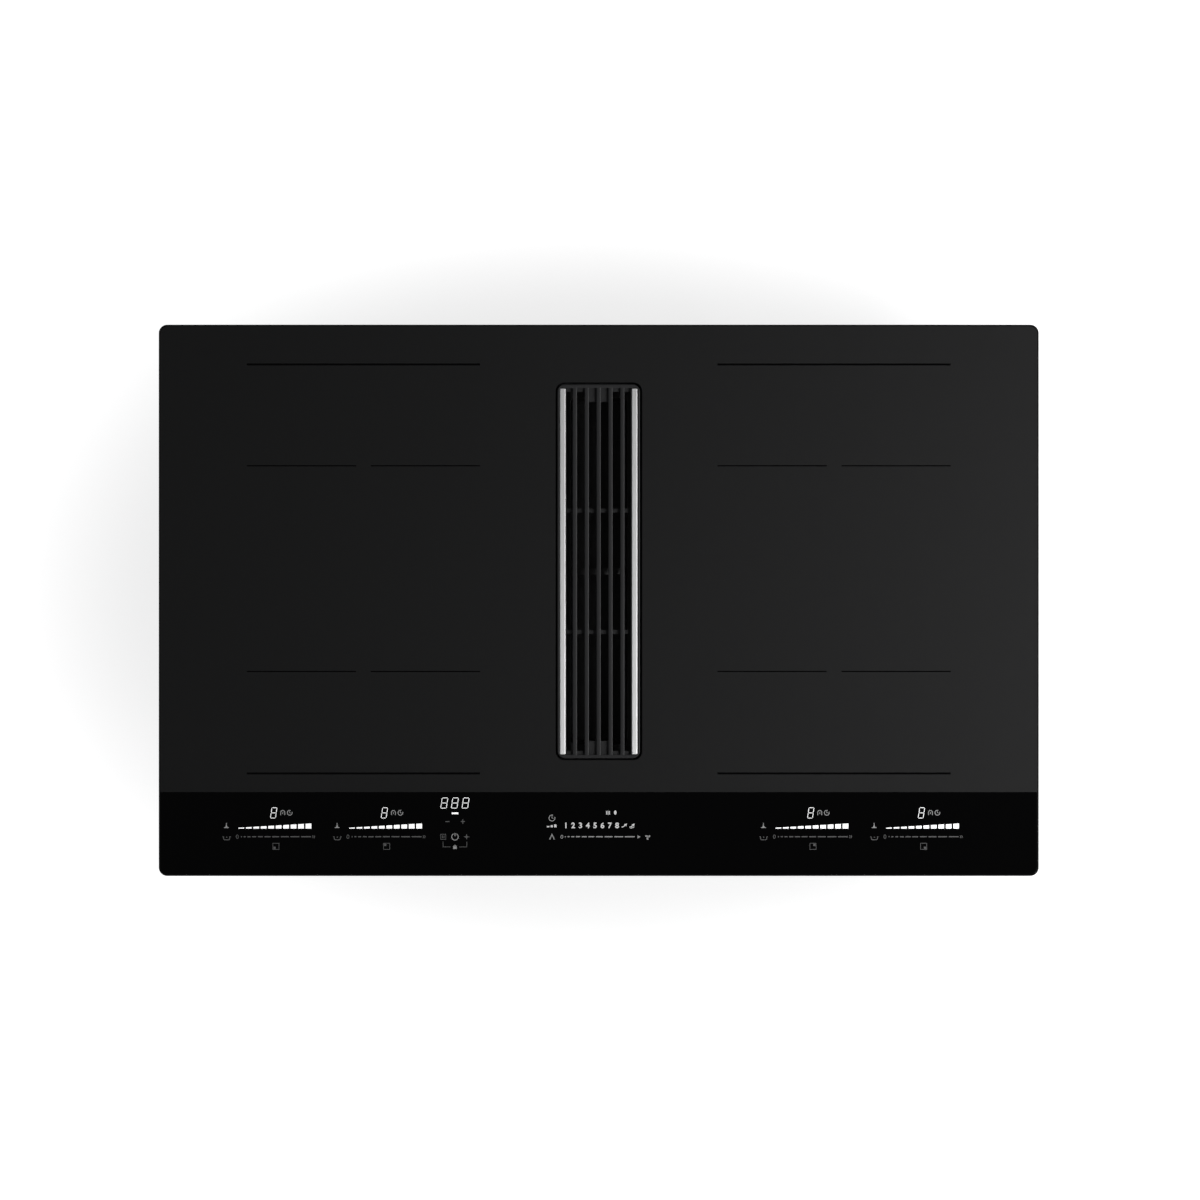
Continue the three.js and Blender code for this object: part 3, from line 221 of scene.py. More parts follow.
class Finishes(PropertyGroup):
    matt_glass: colour("Matt glass", "Colour of the cooking area", (0.0029, 0.003, 0.0032))
    gloss_glass: colour("Gloss glass", "Colour of the control strip and the edge", (0.0007, 0.0007, 0.0008))
    lit: colour("Lit print", "Colour of the lit bars and digits", (0.93, 0.93, 0.93))
    clear: colour("Clear print", "Colour of the numbers and the strongest symbols", (0.5, 0.5, 0.5))
    fair: colour("Fair print", "Colour of the symbols beside the digits", (0.22, 0.22, 0.22))
    dim: colour("Dim print", "Colour of the weakest symbols and lines", (0.068, 0.068, 0.068))
    grille: colour("Grille", "Colour of the coated grille", (0.013, 0.013, 0.014))
    steel: colour("Steel", "Colour of the bright bars", (0.93, 0.93, 0.93))


class StageSizes(PropertyGroup):
    floor: length("Floor", "Radius of the floor", 9.0)
    key: power("Key lamp", "Power of the lamp at the right", 18.0)
    fill: power("Fill lamp", "Power of the lamp at the left", 4.0)
    front: power("Front lamp", "Power of the lamp in front", 5.0)
    width: length("View width", "Width of the view of the camera", 1.132)


class CooktopSettings(PropertyGroup):
    glass: PointerProperty(type=GlassSizes)
    zones: PointerProperty(type=ZoneSizes)
    controls: PointerProperty(type=ControlSizes)
    grille: PointerProperty(type=GrilleSizes)
    casing: PointerProperty(type=CasingSizes)
    blower: PointerProperty(type=BlowerSizes)
    filter: PointerProperty(type=FilterSizes)
    coils: PointerProperty(type=CoilSizes)
    finishes: PointerProperty(type=Finishes)
    stage: PointerProperty(type=StageSizes)


def settings():
    return bpy.context.scene.cooktop


# ---- Node helpers ----

def feed(tree, node, inputs):
    """Store each value in the node's input of that name or number, and join each socket to it."""
    for key, value in inputs.items():
        socket = node.inputs[key]
        if isinstance(value, bpy.types.NodeSocket):
            tree.links.new(value, socket)
        else:
            socket.default_value = value


def add_node(tree, kind, inputs=None, **properties):
    """Add a node, set its properties, then its inputs."""
    node = tree.nodes.new(kind)
    for name, value in properties.items():
        setattr(node, name, value)
    feed(tree, node, inputs or {})
    return node


def maths(tree, operation, *values):
    """A Math node with its inputs in order, as its output socket."""
    return add_node(tree, "ShaderNodeMath", dict(enumerate(values)), operation=operation).outputs[0]


def plus(tree, first, second):
    return maths(tree, "ADD", first, second)


def minus(tree, first, second):
    return maths(tree, "SUBTRACT", first, second)


def times(tree, first, second):
    return maths(tree, "MULTIPLY", first, second)


def start_group(kind, name, inputs, outputs):
    """A node group with named sockets. Returns its tree, its inputs by name and its output node."""
    tree = bpy.data.node_groups.new(name, kind)
    for label, socket, value in inputs:
        made = tree.interface.new_socket(label, in_out="INPUT", socket_type=socket)
        if value is not None:
            made.default_value = value
    for label, socket in outputs:
        tree.interface.new_socket(label, in_out="OUTPUT", socket_type=socket)
    entry = tree.nodes.new("NodeGroupInput")
    leave = tree.nodes.new("NodeGroupOutput")
    return tree, entry.outputs, leave


def finish_group(tree, leave, outputs):
    feed(tree, leave, outputs)
    return tree


FLOAT = "NodeSocketFloat"
COLOUR = "NodeSocketColor"
VECTOR = "NodeSocketVector"
GEOMETRY = "NodeSocketGeometry"
INTEGER = "NodeSocketInt"


def shader_group(name, inputs, outputs, build):
    """The shared shader group of this name, built the first time that it is asked for."""
    found = bpy.data.node_groups.get(name)
    if found:
        return found
    tree, entry, leave = start_group("ShaderNodeTree", name, inputs, outputs)
    return finish_group(tree, leave, build(tree, entry))


def shade(tree, base, factor):
    """The base colour made lighter or darker by a factor."""
    return add_node(tree, "ShaderNodeHueSaturation", {"Color": base, "Value": factor}).outputs["Color"]


def around(tree, middle, spread, value):
    """middle + spread * (value - 0.5)"""
    return maths(tree, "MULTIPLY_ADD", minus(tree, value, 0.5), spread, middle)


def blend(tree, first, second, share):
    """share * first + (1 - share) * second"""
    return maths(tree, "MULTIPLY_ADD", first, share, times(tree, second, 1 - share))


def object_place(tree):
    """The place of a point on its own piece, in metres."""
    return add_node(tree, "ShaderNodeTexCoord").outputs["Object"]


def noise_at(tree, place, scale, detail, roughness=0.5):
    return add_node(tree, "ShaderNodeTexNoise", {
        "Vector": place, "Scale": scale, "Detail": detail, "Roughness": roughness}).outputs["Fac"]


SURFACE_OUTPUTS = (("Color", COLOUR), ("Roughness", FLOAT), ("Normal", VECTOR))


def finish_inputs(*own):
    """The inputs that every finish has, with the ones of its own."""
    return (
        ("Color", COLOUR, (0.5, 0.5, 0.5, 1)), ("Tone change", FLOAT, 0.2), ("Roughness", FLOAT, 0.5),
        ("Roughness change", FLOAT, 0.1), *own, ("Depth", FLOAT, 0.2),
    )


def finish_values(tree, entry, tone, gloss, height, reach=0.1 * MM):
    """A finish's colour changed by the tone, its roughness by the gloss and its normal by the height."""
    bump = add_node(tree, "ShaderNodeBump", {"Strength": entry["Depth"], "Distance": reach, "Height": height})
    return {
        "Color": shade(tree, entry["Color"], around(tree, 1.0, entry["Tone change"], tone)),
        "Roughness": around(tree, entry["Roughness"], entry["Roughness change"], gloss),
        "Normal": bump.outputs["Normal"],
    }


def grain_group():
    """A moulded or coated skin: fine pits, with broad slow changes of tone."""
    def build(tree, entry):
        place = object_place(tree)
        fine = noise_at(tree, place, entry["Grain scale"], 2.0)
        broad = noise_at(tree, place, entry["Patch scale"], 4.0)
        return finish_values(tree, entry, blend(tree, fine, broad, 0.35), broad, fine)

    inputs = finish_inputs(("Grain scale", FLOAT, 2500.0), ("Patch scale", FLOAT, 14.0))
    return shader_group("Moulded grain", inputs, SURFACE_OUTPUTS, build)


def brushed_group():
    """Metal with fine straight scratches, drawn out along one axis by the stretch."""
    def build(tree, entry):
        place = object_place(tree)
        drawn = add_node(tree, "ShaderNodeMapping", {"Vector": place, "Scale": entry["Stretch"]}).outputs[0]
        streak = noise_at(tree, drawn, 1.0, 3.0, 0.6)
        broad = noise_at(tree, place, 9.0, 2.0)
        return finish_values(tree, entry, blend(tree, streak, broad, 0.7), streak, streak, 0.05 * MM)

    inputs = finish_inputs(("Stretch", VECTOR, (3000.0, 20.0, 3000.0)))
    return shader_group("Brushed metal", inputs, SURFACE_OUTPUTS, build)


def spangle_group():
    """Hot-dipped zinc: flat crystals of slightly different tone and sheen."""
    def build(tree, entry):
        place = object_place(tree)
        wobble = add_node(tree, "ShaderNodeTexNoise", {"Vector": place, "Scale": 60.0, "Detail": 2.0})
        reach = (8 * MM, 8 * MM, 8 * MM)
        moved = add_node(tree, "ShaderNodeVectorMath", {
            0: wobble.outputs["Color"], 1: reach, 2: place}, operation="MULTIPLY_ADD").outputs[0]
        cells = add_node(tree, "ShaderNodeTexVoronoi", {"Vector": moved, "Scale": entry["Crystal scale"]})
        tone = add_node(tree, "ShaderNodeSeparateColor", {"Color": cells.outputs["Color"]}).outputs["Red"]
        return finish_values(tree, entry, tone, tone, tone)

    inputs = finish_inputs(("Crystal scale", FLOAT, 160.0))
    return shader_group("Zinc spangle", inputs, SURFACE_OUTPUTS, build)


def wear_group():
    """Mask of the edges that hands and tools rub, from how far a rounded normal leans away."""
    def build(tree, entry):
        eased = add_node(tree, "ShaderNodeBevel", {"Radius": entry["Reach"]}, samples=4).outputs["Normal"]
        flat = add_node(tree, "ShaderNodeNewGeometry").outputs["Normal"]
        likeness = add_node(tree, "ShaderNodeVectorMath", {0: eased, 1: flat}, operation="DOT_PRODUCT")
        edge = minus(tree, 1.0, likeness.outputs["Value"])
        patches = noise_at(tree, object_place(tree), 180.0, 4.0)
        rubbed = times(tree, times(tree, edge, 5.0), patches)
        mask = add_node(tree, "ShaderNodeClamp", {"Value": times(tree, rubbed, entry["Amount"])})
        return {"Mask": mask.outputs["Result"]}

    inputs = (("Reach", FLOAT, 0.4 * MM), ("Amount", FLOAT, 0.5))
    return shader_group("Edge wear", inputs, (("Mask", FLOAT),), build)


# ---- Materials ----

def rgba(rgb):
    """A colour with its alpha of 1."""
    return (*rgb, 1.0)


def start_material(name, **constants):
    """A material with its shader. Constants go straight onto the shader's own sockets."""
    material = bpy.data.materials.new(name)
    material.use_nodes = True
    tree = material.node_tree
    shader = tree.nodes["Principled BSDF"]
    feed(tree, shader, {label.replace("_", " "): value for label, value in constants.items()})
    return material, tree, shader


def surface(name, group, values, wear=None, **constants):
    """A material whose colour, roughness and normal come from a group, with worn edges if asked for."""
    found = bpy.data.materials.get(name)
    if found:
        return found
    material, tree, shader = start_material(name, **constants)
    finish = add_node(tree, "ShaderNodeGroup", values, node_tree=group())
    base = finish.outputs["Color"]
    if wear:
        reach, share, bare = wear
        edges = add_node(tree, "ShaderNodeGroup", {"Reach": reach, "Amount": share}, node_tree=wear_group())
        mixed = add_node(tree, "ShaderNodeMix", {
            "Factor": edges.outputs["Mask"], "A": base, "B": bare}, data_type="RGBA")
        base = mixed.outputs["Result"]
    feed(tree, shader, {
        "Base Color": base, "Roughness": finish.outputs["Roughness"], "Normal": finish.outputs["Normal"]})
    return material


def grained(name, rgb, tone, roughness, change, grain, patch, depth, wear=None, **constants):
    """A moulded, coated or ground finish. Its tone and its roughness change by the shares given."""
    return surface(name, grain_group, {
        "Color": rgba(rgb), "Tone change": tone, "Roughness": roughness, "Roughness change": change,
        "Grain scale": grain, "Patch scale": patch, "Depth": depth}, wear, **constants)


def brushed(name, rgb, tone, roughness, change, stretch, depth):
    """A metal finish with straight scratches along the axis that is stretched least."""
    return surface(name, brushed_group, {
        "Color": rgba(rgb), "Tone change": tone, "Roughness": roughness, "Roughness change": change,
        "Stretch": stretch, "Depth": depth}, Metallic=1.0)


def matt_glass():
    return grained(
        "matt_glass", settings().finishes.matt_glass, tone=0.12, roughness=0.55, change=0.02, grain=3500.0,
        patch=6.0, depth=0.06, Specular_IOR_Level=0.25)


def gloss_glass():
    return grained(
        "gloss_glass", settings().finishes.gloss_glass, tone=0.1, roughness=0.07, change=0.03, grain=500.0,
        patch=5.0, depth=0.0)


def ground_edge():
    return grained(
        "ground_edge", settings().finishes.gloss_glass, tone=0.3, roughness=0.42, change=0.08, grain=3000.0,
        patch=20.0, depth=0.05, Specular_IOR_Level=0.1)


def grille_coat():
    return grained(
        "grille_coat", settings().finishes.grille, tone=0.15, roughness=0.45, change=0.08, grain=2600.0,
        patch=12.0, depth=0.12, wear=(0.3 * MM, 0.2, (0.1, 0.1, 0.1, 1)), Specular_IOR_Level=0.4)


def bright_steel():
    """Brushed bars with a painted highlight: lighter towards their front end and darker towards their rear,
    as a near lamp's sheen would fall.
    """
    found = bpy.data.materials.get("bright_steel")
    if found:
        return found
    front_painted_highlight, rear_painted_shade = 1.07, 0.78
    made = brushed("bright_steel", settings().finishes.steel, 0.1, 0.5, 0.08, (3200.0, 18.0, 3200.0), 0.1)
    tree = made.node_tree
    base = tree.nodes["Principled BSDF"].inputs["Base Color"]
    # Painted highlight and shade: the colour is lightened at the front end and darkened at the rear.
    along = add_node(tree, "ShaderNodeSeparateXYZ", {"Vector": object_place(tree)}).outputs["Y"]
    tone = add_node(tree, "ShaderNodeMapRange", {
        "Value": along, "From Min": TRIM_LOW.y, "From Max": TRIM_HIGH.y, "To Min": front_painted_highlight,
        "To Max": rear_painted_shade})
    tree.links.new(shade(tree, base.links[0].from_socket, tone.outputs["Result"]), base)
    return made


def glowing_ink(kind):
    """Lit, clear, fair or dim ink under the glass. Its tone changes a little, as a lit film does. The lit
    bars and digits glow as a display does; the clear, fair and dim print glows too, which is a painted glow.
    """
    name = f"{kind}_ink"
    found = bpy.data.materials.get(name)
    if found:
        return found
    # Painted glow on the clear, fair and dim print, which is no lamp; only the lit kind stands for display
    # light.
    glow = 0.6 if kind == "lit" else 0.4
    material, tree, shader = start_material(name, Roughness=0.35, Emission_Strength=glow)
    patches = noise_at(tree, object_place(tree), 700.0, 1.0)
    tone = shade(tree, rgba(getattr(settings().finishes, kind)), around(tree, 1.0, 0.1, patches))
    feed(tree, shader, {"Base Color": tone, "Emission Color": tone})
    return material


def plastic(name, rgb, roughness=0.55):
    """A moulded plastic whose rubbed edges are paler than its skin."""
    bare = rgba(min(1.0, 2.2 * value + 0.02) for value in rgb)
    return grained(
        name, rgb, tone=0.16, roughness=roughness, change=0.12, grain=1800.0, patch=16.0, depth=0.25,
        wear=(0.35 * MM, 0.25, bare))


def soft(name, rgb, roughness, grain, depth):
    return grained(name, rgb, 0.35, roughness, 0.1, grain, 30.0, depth)


def drawn_metal(name, rgb, roughness, stretch, tone=0.18):
    return brushed(name, rgb, tone, roughness, 0.16, stretch, 0.15)


def galvanised():
    return surface("zinc_spangle", spangle_group, {
        "Color": (0.34, 0.35, 0.36, 1), "Tone change": 0.42, "Roughness": 0.4, "Roughness change": 0.25,
        "Crystal scale": 150.0, "Depth": 0.22,
    }, Metallic=0.95)


SLOT_FINISHES = {
    "glass": gloss_glass,
    "grille_black": grille_coat,
    "stainless": lambda: drawn_metal("brushed_stainless", (0.55, 0.55, 0.54), 0.33, (900.0, 30.0, 900.0)),
    "galvanised": galvanised,
    "spring_steel": lambda: drawn_metal("tempered_spring", (0.34, 0.34, 0.33), 0.36, (900.0, 60.0, 60.0)),
    "aluminium": lambda: drawn_metal("mill_aluminium", (0.52, 0.53, 0.54), 0.42, (1500.0, 25.0, 1500.0)),
    "copper": lambda: drawn_metal("bare_copper", (0.46, 0.19, 0.08), 0.4, (700.0, 700.0, 700.0), 0.5),
    "black_plastic": lambda: plastic("moulded_black", (0.012, 0.012, 0.013)),
    "grey_plastic": lambda: plastic("moulded_grey", (0.13, 0.135, 0.14)),
    "white_plastic": lambda: plastic("moulded_white", (0.66, 0.66, 0.63), 0.45),
    "rubber": lambda: soft("black_rubber", (0.011, 0.011, 0.011), 0.8, 1500.0, 0.3),
    "foam": lambda: soft("black_foam", (0.018, 0.018, 0.019), 0.95, 900.0, 1.0),
    "silicone": lambda: soft("black_silicone", (0.008, 0.008, 0.008), 0.6, 400.0, 0.1),
    "felt": lambda: soft("needled_felt", (0.6, 0.56, 0.47), 0.97, 1300.0, 1.0),
    "board": lambda: soft("circuit_laminate", (0.012, 0.085, 0.03), 0.35, 300.0, 0.1),
}


# ---- Mesh helpers ----

def rounded_outline(width, depth, corner, steps=10, middle=(0.0, 0.0)):
    """Points of a rounded rectangle, anticlockwise seen from above."""
    points = []
    for quarter in range(4):
        side_x = 1 if quarter in (0, 3) else -1
        side_y = 1 if quarter < 2 else -1
        cx = middle[0] + side_x * (width / 2 - corner)
        cy = middle[1] + side_y * (depth / 2 - corner)
        for step in range(steps + 1):
            angle = (quarter + step / steps) * pi / 2
            points.append((cx + corner * cos(angle), cy + corner * sin(angle)))
    return points


def oval(x, y, radius_x, radius_y, count=24):
    return [
        (x + radius_x * cos(tau * i / count), y + radius_y * sin(tau * i / count)) for i in range(count)
    ]


def add_ring(mesh, points, z):
    return [mesh.verts.new((x, y, z)) for x, y in points]


def closed_ring(mesh, ring):
    return [mesh.edges.new((ring[i - 1], ring[i])) for i in range(len(ring))]


def ring_edges(mesh, ring):
    return [mesh.edges.get((ring[i - 1], ring[i])) for i in range(len(ring))]


def skin(mesh, low, high):
    """Quads between two rings of equal length."""
    count = len(low)
    for i in range(count):
        nxt = (i + 1) % count
        mesh.faces.new((low[i], low[nxt], high[nxt], high[i]))


def add_slab(mesh, points, low, high):
    """A closed slab over one outline."""
    bottom, top = add_ring(mesh, points, low), add_ring(mesh, points, high)
    skin(mesh, bottom, top)
    mesh.faces.new(top)
    mesh.faces.new(bottom[::-1])


def add_ring_slab(mesh, outer, inner, low, high):
    """A closed flat ring between two outlines of equal length."""
    rings = [add_ring(mesh, outer, low), add_ring(mesh, outer, high)]
    rings += [add_ring(mesh, inner, high), add_ring(mesh, inner, low)]
    for first, second in zip(rings, rings[1:] + rings[:1]):
        skin(mesh, first, second)


def add_block(mesh, low, high):
    """A box between its lowest and its highest corner."""
    corners = [(low[0], low[1]), (high[0], low[1]), (high[0], high[1]), (low[0], high[1])]
    add_slab(mesh, corners, low[2], high[2])


def add_stack(mesh, rings):
    """A closed skin over rings that lie one above the other."""
    for low, high in zip(rings, rings[1:]):
        skin(mesh, low, high)
    mesh.faces.new(rings[0][::-1])
    mesh.faces.new(rings[-1])


def stroke_sides(points, width, closed=False):
    """The two sides of a line of even width, mitred at its bends."""
    count = len(points)
    left, right = [], []
    for i, (x, y) in enumerate(points):
        before = points[i - 1] if closed or i else None
        after = points[(i + 1) % count] if closed or i < count - 1 else None
        ways = []
        for start, end in ((before, (x, y)), ((x, y), after)):
            if start is not None and end is not None:
                span = hypot(end[0] - start[0], end[1] - start[1])
                ways.append(((end[0] - start[0]) / span, (end[1] - start[1]) / span))
        across = (-sum(way[1] for way in ways), sum(way[0] for way in ways))
        size = hypot(*across)
        across = (across[0] / size, across[1] / size)
        reach = width / 2 / max(0.3, across[1] * ways[0][0] - across[0] * ways[0][1])
        left.append((x + across[0] * reach, y + across[1] * reach))
        right.append((x - across[0] * reach, y - across[1] * reach))
    return left, right


def add_stroke(mesh, points, width, low, high, closed=False):
    left, right = stroke_sides(points, width, closed)
    if closed:
        add_ring_slab(mesh, right, left, low, high)
    else:
        add_slab(mesh, right + left[::-1], low, high)


def finish_mesh(mesh, name, smooth_angle=None):
    """Turn every closed skin outwards and make the result a plain mesh."""
    bmesh.ops.recalc_face_normals(mesh, faces=mesh.faces)
    made = bpy.data.meshes.new(name)
    mesh.to_mesh(made)
    mesh.free()
    if smooth_angle:
        smooth(made, smooth_angle)
    return made


def smooth(made, angle=30):
    made.polygons.foreach_set("use_smooth", [True] * len(made.polygons))
    made.set_sharp_from_angle(angle=radians(angle))


def keep_level_faces_flat(made):
    """Shade the faces that lie level as flats, so that large ones show no gradient."""
    for face in made.polygons:
        if abs(face.normal.z) > 0.9999:
            face.use_smooth = False


def keep_piece(name, made, body, materials, nodes=()):
    """Put the mesh in the scene, on the body that carries it and over the nodes that it stands for."""
    for material in materials:
        made.materials.append(material)
    piece = bpy.data.objects.new(name, made)
    bpy.context.scene.collection.objects.link(piece)
    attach(piece, body)
    if nodes:
        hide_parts(*nodes)
    return piece


def keep_joined(name, meshes, body, nodes=()):
    """Keep several plain meshes as one piece."""
    made, materials = joined_meshes(meshes, name)
    return keep_piece(name, made, body, materials, nodes)


def baked(piece, name):
    """The evaluated result of an object's modifiers, as a plain mesh. The object is removed."""
    view = bpy.context.evaluated_depsgraph_get()
    made = bpy.data.meshes.new_from_object(piece.evaluated_get(view))
    made.name = name
    bpy.data.objects.remove(piece)
    return made


def rounded(made, width, segments=2, angle=30):
    """Round a mesh's sharp edges with a Bevel modifier."""
    smooth(made, 35)
    piece = bpy.data.objects.new(made.name, made)
    bpy.context.scene.collection.objects.link(piece)
    bevel = piece.modifiers.new("edges", "BEVEL")
    bevel.width = width
    bevel.segments = segments
    bevel.limit_method = "ANGLE"
    bevel.angle_limit = radians(angle)
    bevel.harden_normals = True
    return baked(piece, made.name)


# ---- Geometry Nodes helpers ----

def geometry_tree(name, inputs, build):
    """A tree with named inputs. It ends by realizing its instances and setting a material."""
    sockets = [*inputs, ("Material", "NodeSocketMaterial", None)]
    tree, entry, leave = start_group("GeometryNodeTree", name, sockets, [("Geometry", GEOMETRY)])
    shape = build(tree, entry)
    whole = add_node(tree, "GeometryNodeRealizeInstances", {"Geometry": shape}).outputs["Geometry"]
    painted = add_node(tree, "GeometryNodeSetMaterial", {"Geometry": whole, "Material": entry["Material"]})
    return finish_group(tree, leave, {"Geometry": painted.outputs["Geometry"]})


def grown(tree, values, name, start=None):
    """Run a tree on a starting mesh, or on an empty one, and keep what it makes as a plain mesh."""
    piece = bpy.data.objects.new(name, start or bpy.data.meshes.new(name))
    bpy.context.scene.collection.objects.link(piece)
    modifier = piece.modifiers.new("pattern", "NODES")
    modifier.node_group = tree
    sockets = {item.name: item.identifier for item in tree.interface.items_tree if item.in_out == "INPUT"}
    for label, value in values.items():
        modifier[sockets[label]] = value
    return baked(piece, name)


def combine(tree, x, y, z):
    return add_node(tree, "ShaderNodeCombineXYZ", {"X": x, "Y": y, "Z": z}).outputs["Vector"]


def node_index(tree):
    return add_node(tree, "GeometryNodeInputIndex").outputs["Index"]


def points_at(tree, count, place):
    """As many points as asked for, each at the place that its own index gives."""
    line = add_node(tree, "GeometryNodeMeshLine", {"Count": count, "Offset": (0, 0, 0)}).outputs["Mesh"]
    return add_node(tree, "GeometryNodeSetPosition", {
        "Geometry": line, "Position": place}).outputs["Geometry"]


def copy_to(tree, points, shape, **more):
    """The shape on every point."""
    return add_node(tree, "GeometryNodeInstanceOnPoints", {
        "Points": points, "Instance": shape, **more}).outputs["Instances"]


def steps_from_middle(tree, count):
    """How many steps a point's index lies from the middle of its row."""
    return minus(tree, node_index(tree), times(tree, minus(tree, count, 1.0), 0.5))


def level_and_height(tree, entry):
    """The middle level, and the height, of what lies between the inputs Under and Top."""
    level = times(tree, plus(tree, entry["Under"], entry["Top"]), 0.5)
    return level, minus(tree, entry["Top"], entry["Under"])


def joined_meshes(meshes, name):
    """Several plain meshes as one, with their materials kept."""
    whole = bmesh.new()
    materials = []
    for made in meshes:
        start = len(whole.faces)
        whole.from_mesh(made)
        whole.faces.ensure_lookup_table()
        for face in whole.faces[start:]:
            material = made.materials[face.material_index] if made.materials else None
            if material not in materials:
                materials.append(material)
            face.material_index = materials.index(material)
    result = bpy.data.meshes.new(name)
    whole.to_mesh(result)
    whole.free()
    return result, [material for material in materials if material]


# ---- Small shapes that repeat ----

def copies_tree():
    """The pattern object on every point of the starting mesh, turned as the point's own turn says."""
    inputs = (
        ("Points", GEOMETRY, None), ("Pattern", "NodeSocketObject", None), ("Spin", FLOAT, 0.0),
        ("Seed", INTEGER, 7),
    )

    def build(tree, entry):
        pattern = add_node(tree, "GeometryNodeObjectInfo", {"Object": entry["Pattern"]}).outputs["Geometry"]
        turn = add_node(tree, "GeometryNodeInputNamedAttribute", {"Name": "turn"}, data_type="FLOAT_VECTOR")
        rotation = add_node(tree, "FunctionNodeEulerToRotation", {"Euler": turn.outputs["Attribute"]})
        placed = copy_to(tree, entry["Points"], pattern, Rotation=rotation.outputs[0])
        chance = add_node(tree, "FunctionNodeRandomValue", {"Seed": entry["Seed"]}, data_type="FLOAT")
        about = combine(tree, 0.0, 0.0, times(tree, chance.outputs[1], entry["Spin"]))
        return add_node(tree, "GeometryNodeRotateInstances", {
            "Instances": placed, "Rotation": about}).outputs["Instances"]

    found = bpy.data.node_groups.get("Placed copies")
    return found or geometry_tree("Placed copies", inputs, build)


FACING = {
    "up": (0, 0, 0), "down": (pi, 0, 0), "front": (pi / 2, 0, 0), "rear": (-pi / 2, 0, 0),
    "right": (pi / 2, 0, pi / 2), "left": (pi / 2, 0, -pi / 2),
}


def copies(pattern, places, material, name, spin=0.0):
    """Copies of a pattern mesh at [(place in millimetres, turn)], as one plain mesh."""
    start = bpy.data.meshes.new(name)
    start.from_pydata([[value * MM for value in place] for place, _ in places], [], [])
    turns = start.attributes.new("turn", "FLOAT_VECTOR", "POINT")
    turns.data.foreach_set("vector", [value for _, turn in places for value in turn])
    holder = bpy.data.objects.new("pattern", pattern)
    bpy.context.scene.collection.objects.link(holder)
    made = grown(copies_tree(), {"Pattern": holder, "Spin": spin, "Material": material}, name, start)
    bpy.data.objects.remove(holder)
    return made


def facing(way, points):
    return [(point, FACING[way]) for point in points]


def lathe(name, profile, count, material=None, axis=(0.0, 0.0)):
    """A solid turned about the vertical. The profile's [radius, height] pairs are millimetres."""
    mesh = bmesh.new()
    x, y = axis[0] * MM, axis[1] * MM
    rings = []
    for radius, height in profile:
        if radius < 1e-6:
            rings.append([mesh.verts.new((x, y, height * MM))] * count)
        else:
            rings.append(add_ring(mesh, oval(x, y, radius * MM, radius * MM, count), height * MM))
    for low, high in zip(rings, rings[1:]):
        for i in range(count):
            nxt = (i + 1) % count
            corners = dict.fromkeys((low[i], low[nxt], high[nxt], high[i]))
            if len(corners) > 2:
                mesh.faces.new(list(corners))
    for ring, ends in ((rings[0], profile[0]), (rings[-1], profile[-1])):
        if ends[0] > 1e-6 and profile[0] != profile[-1]:
            mesh.faces.new(ring)
    bmesh.ops.remove_doubles(mesh, verts=mesh.verts, dist=1e-7)
    made = finish_mesh(mesh, name, 32)
    if material:
        made.materials.append(material)
    return made


def screw_head(radius, height, lobes=6, count=24):
    """A pan head with a star-shaped recess, standing on the level z = 0."""
    mesh = bmesh.new()

    def ring(reach, z, wave=0.0):
        points = []
        for i in range(count):
            angle = tau * i / count
            out = reach * (1 + wave * cos(lobes * angle)) * MM
            points.append((out * cos(angle), out * sin(angle)))
        return add_ring(mesh, points, z * MM)

    star = 0.16
    add_stack(mesh, [
        ring(radius * 0.94, -0.3), ring(radius, 0.1), ring(radius * 0.96, height * 0.55),
        ring(radius * 0.8, height * 0.88), ring(radius * 0.58, height), ring(radius * 0.44, height, star),
        ring(radius * 0.4, height * 0.35, star),
    ])
    return finish_mesh(mesh, "screw_head", 40)


def tapered_bar(name, long, wide, corner, steps, levels, angle):
    """A bar that lies along X and narrows upwards. Its levels are [inset, height] in millimetres."""
    mesh = bmesh.new()
    rings = []
    for inset, z in levels:
        size = (long - 2 * inset, wide - 2 * inset)
        outline = rounded_outline(size[0] * MM, size[1] * MM, corner(size[1]) * MM, steps)
        rings.append(add_ring(mesh, outline, z * MM))
    add_stack(mesh, rings)
    return finish_mesh(mesh, name, angle)


def pressed_bead(long, wide, high):
    """A long raised bead with round ends and sloping sides, as a press leaves in sheet."""
    levels = ((0.0, -0.4), (0.0, 0.0), (0.35 * wide / 2, high * 0.7), (0.6 * wide / 2, high))
    return tapered_bar("pressed_bead", long, wide, lambda width: width / 2 * 0.999, 4, levels, 50)


def moulded_rib(long, thick, reach):
    """An upright rib with drafted sides and an eased crest. It runs along X and stands on z = 0."""
    levels = ((0.0, -0.5), (0.0, 0.0), (0.12, reach - 0.3), (0.3, reach))
    return tapered_bar("moulded_rib", long, thick, lambda width: 0.2, 1, levels, 40)


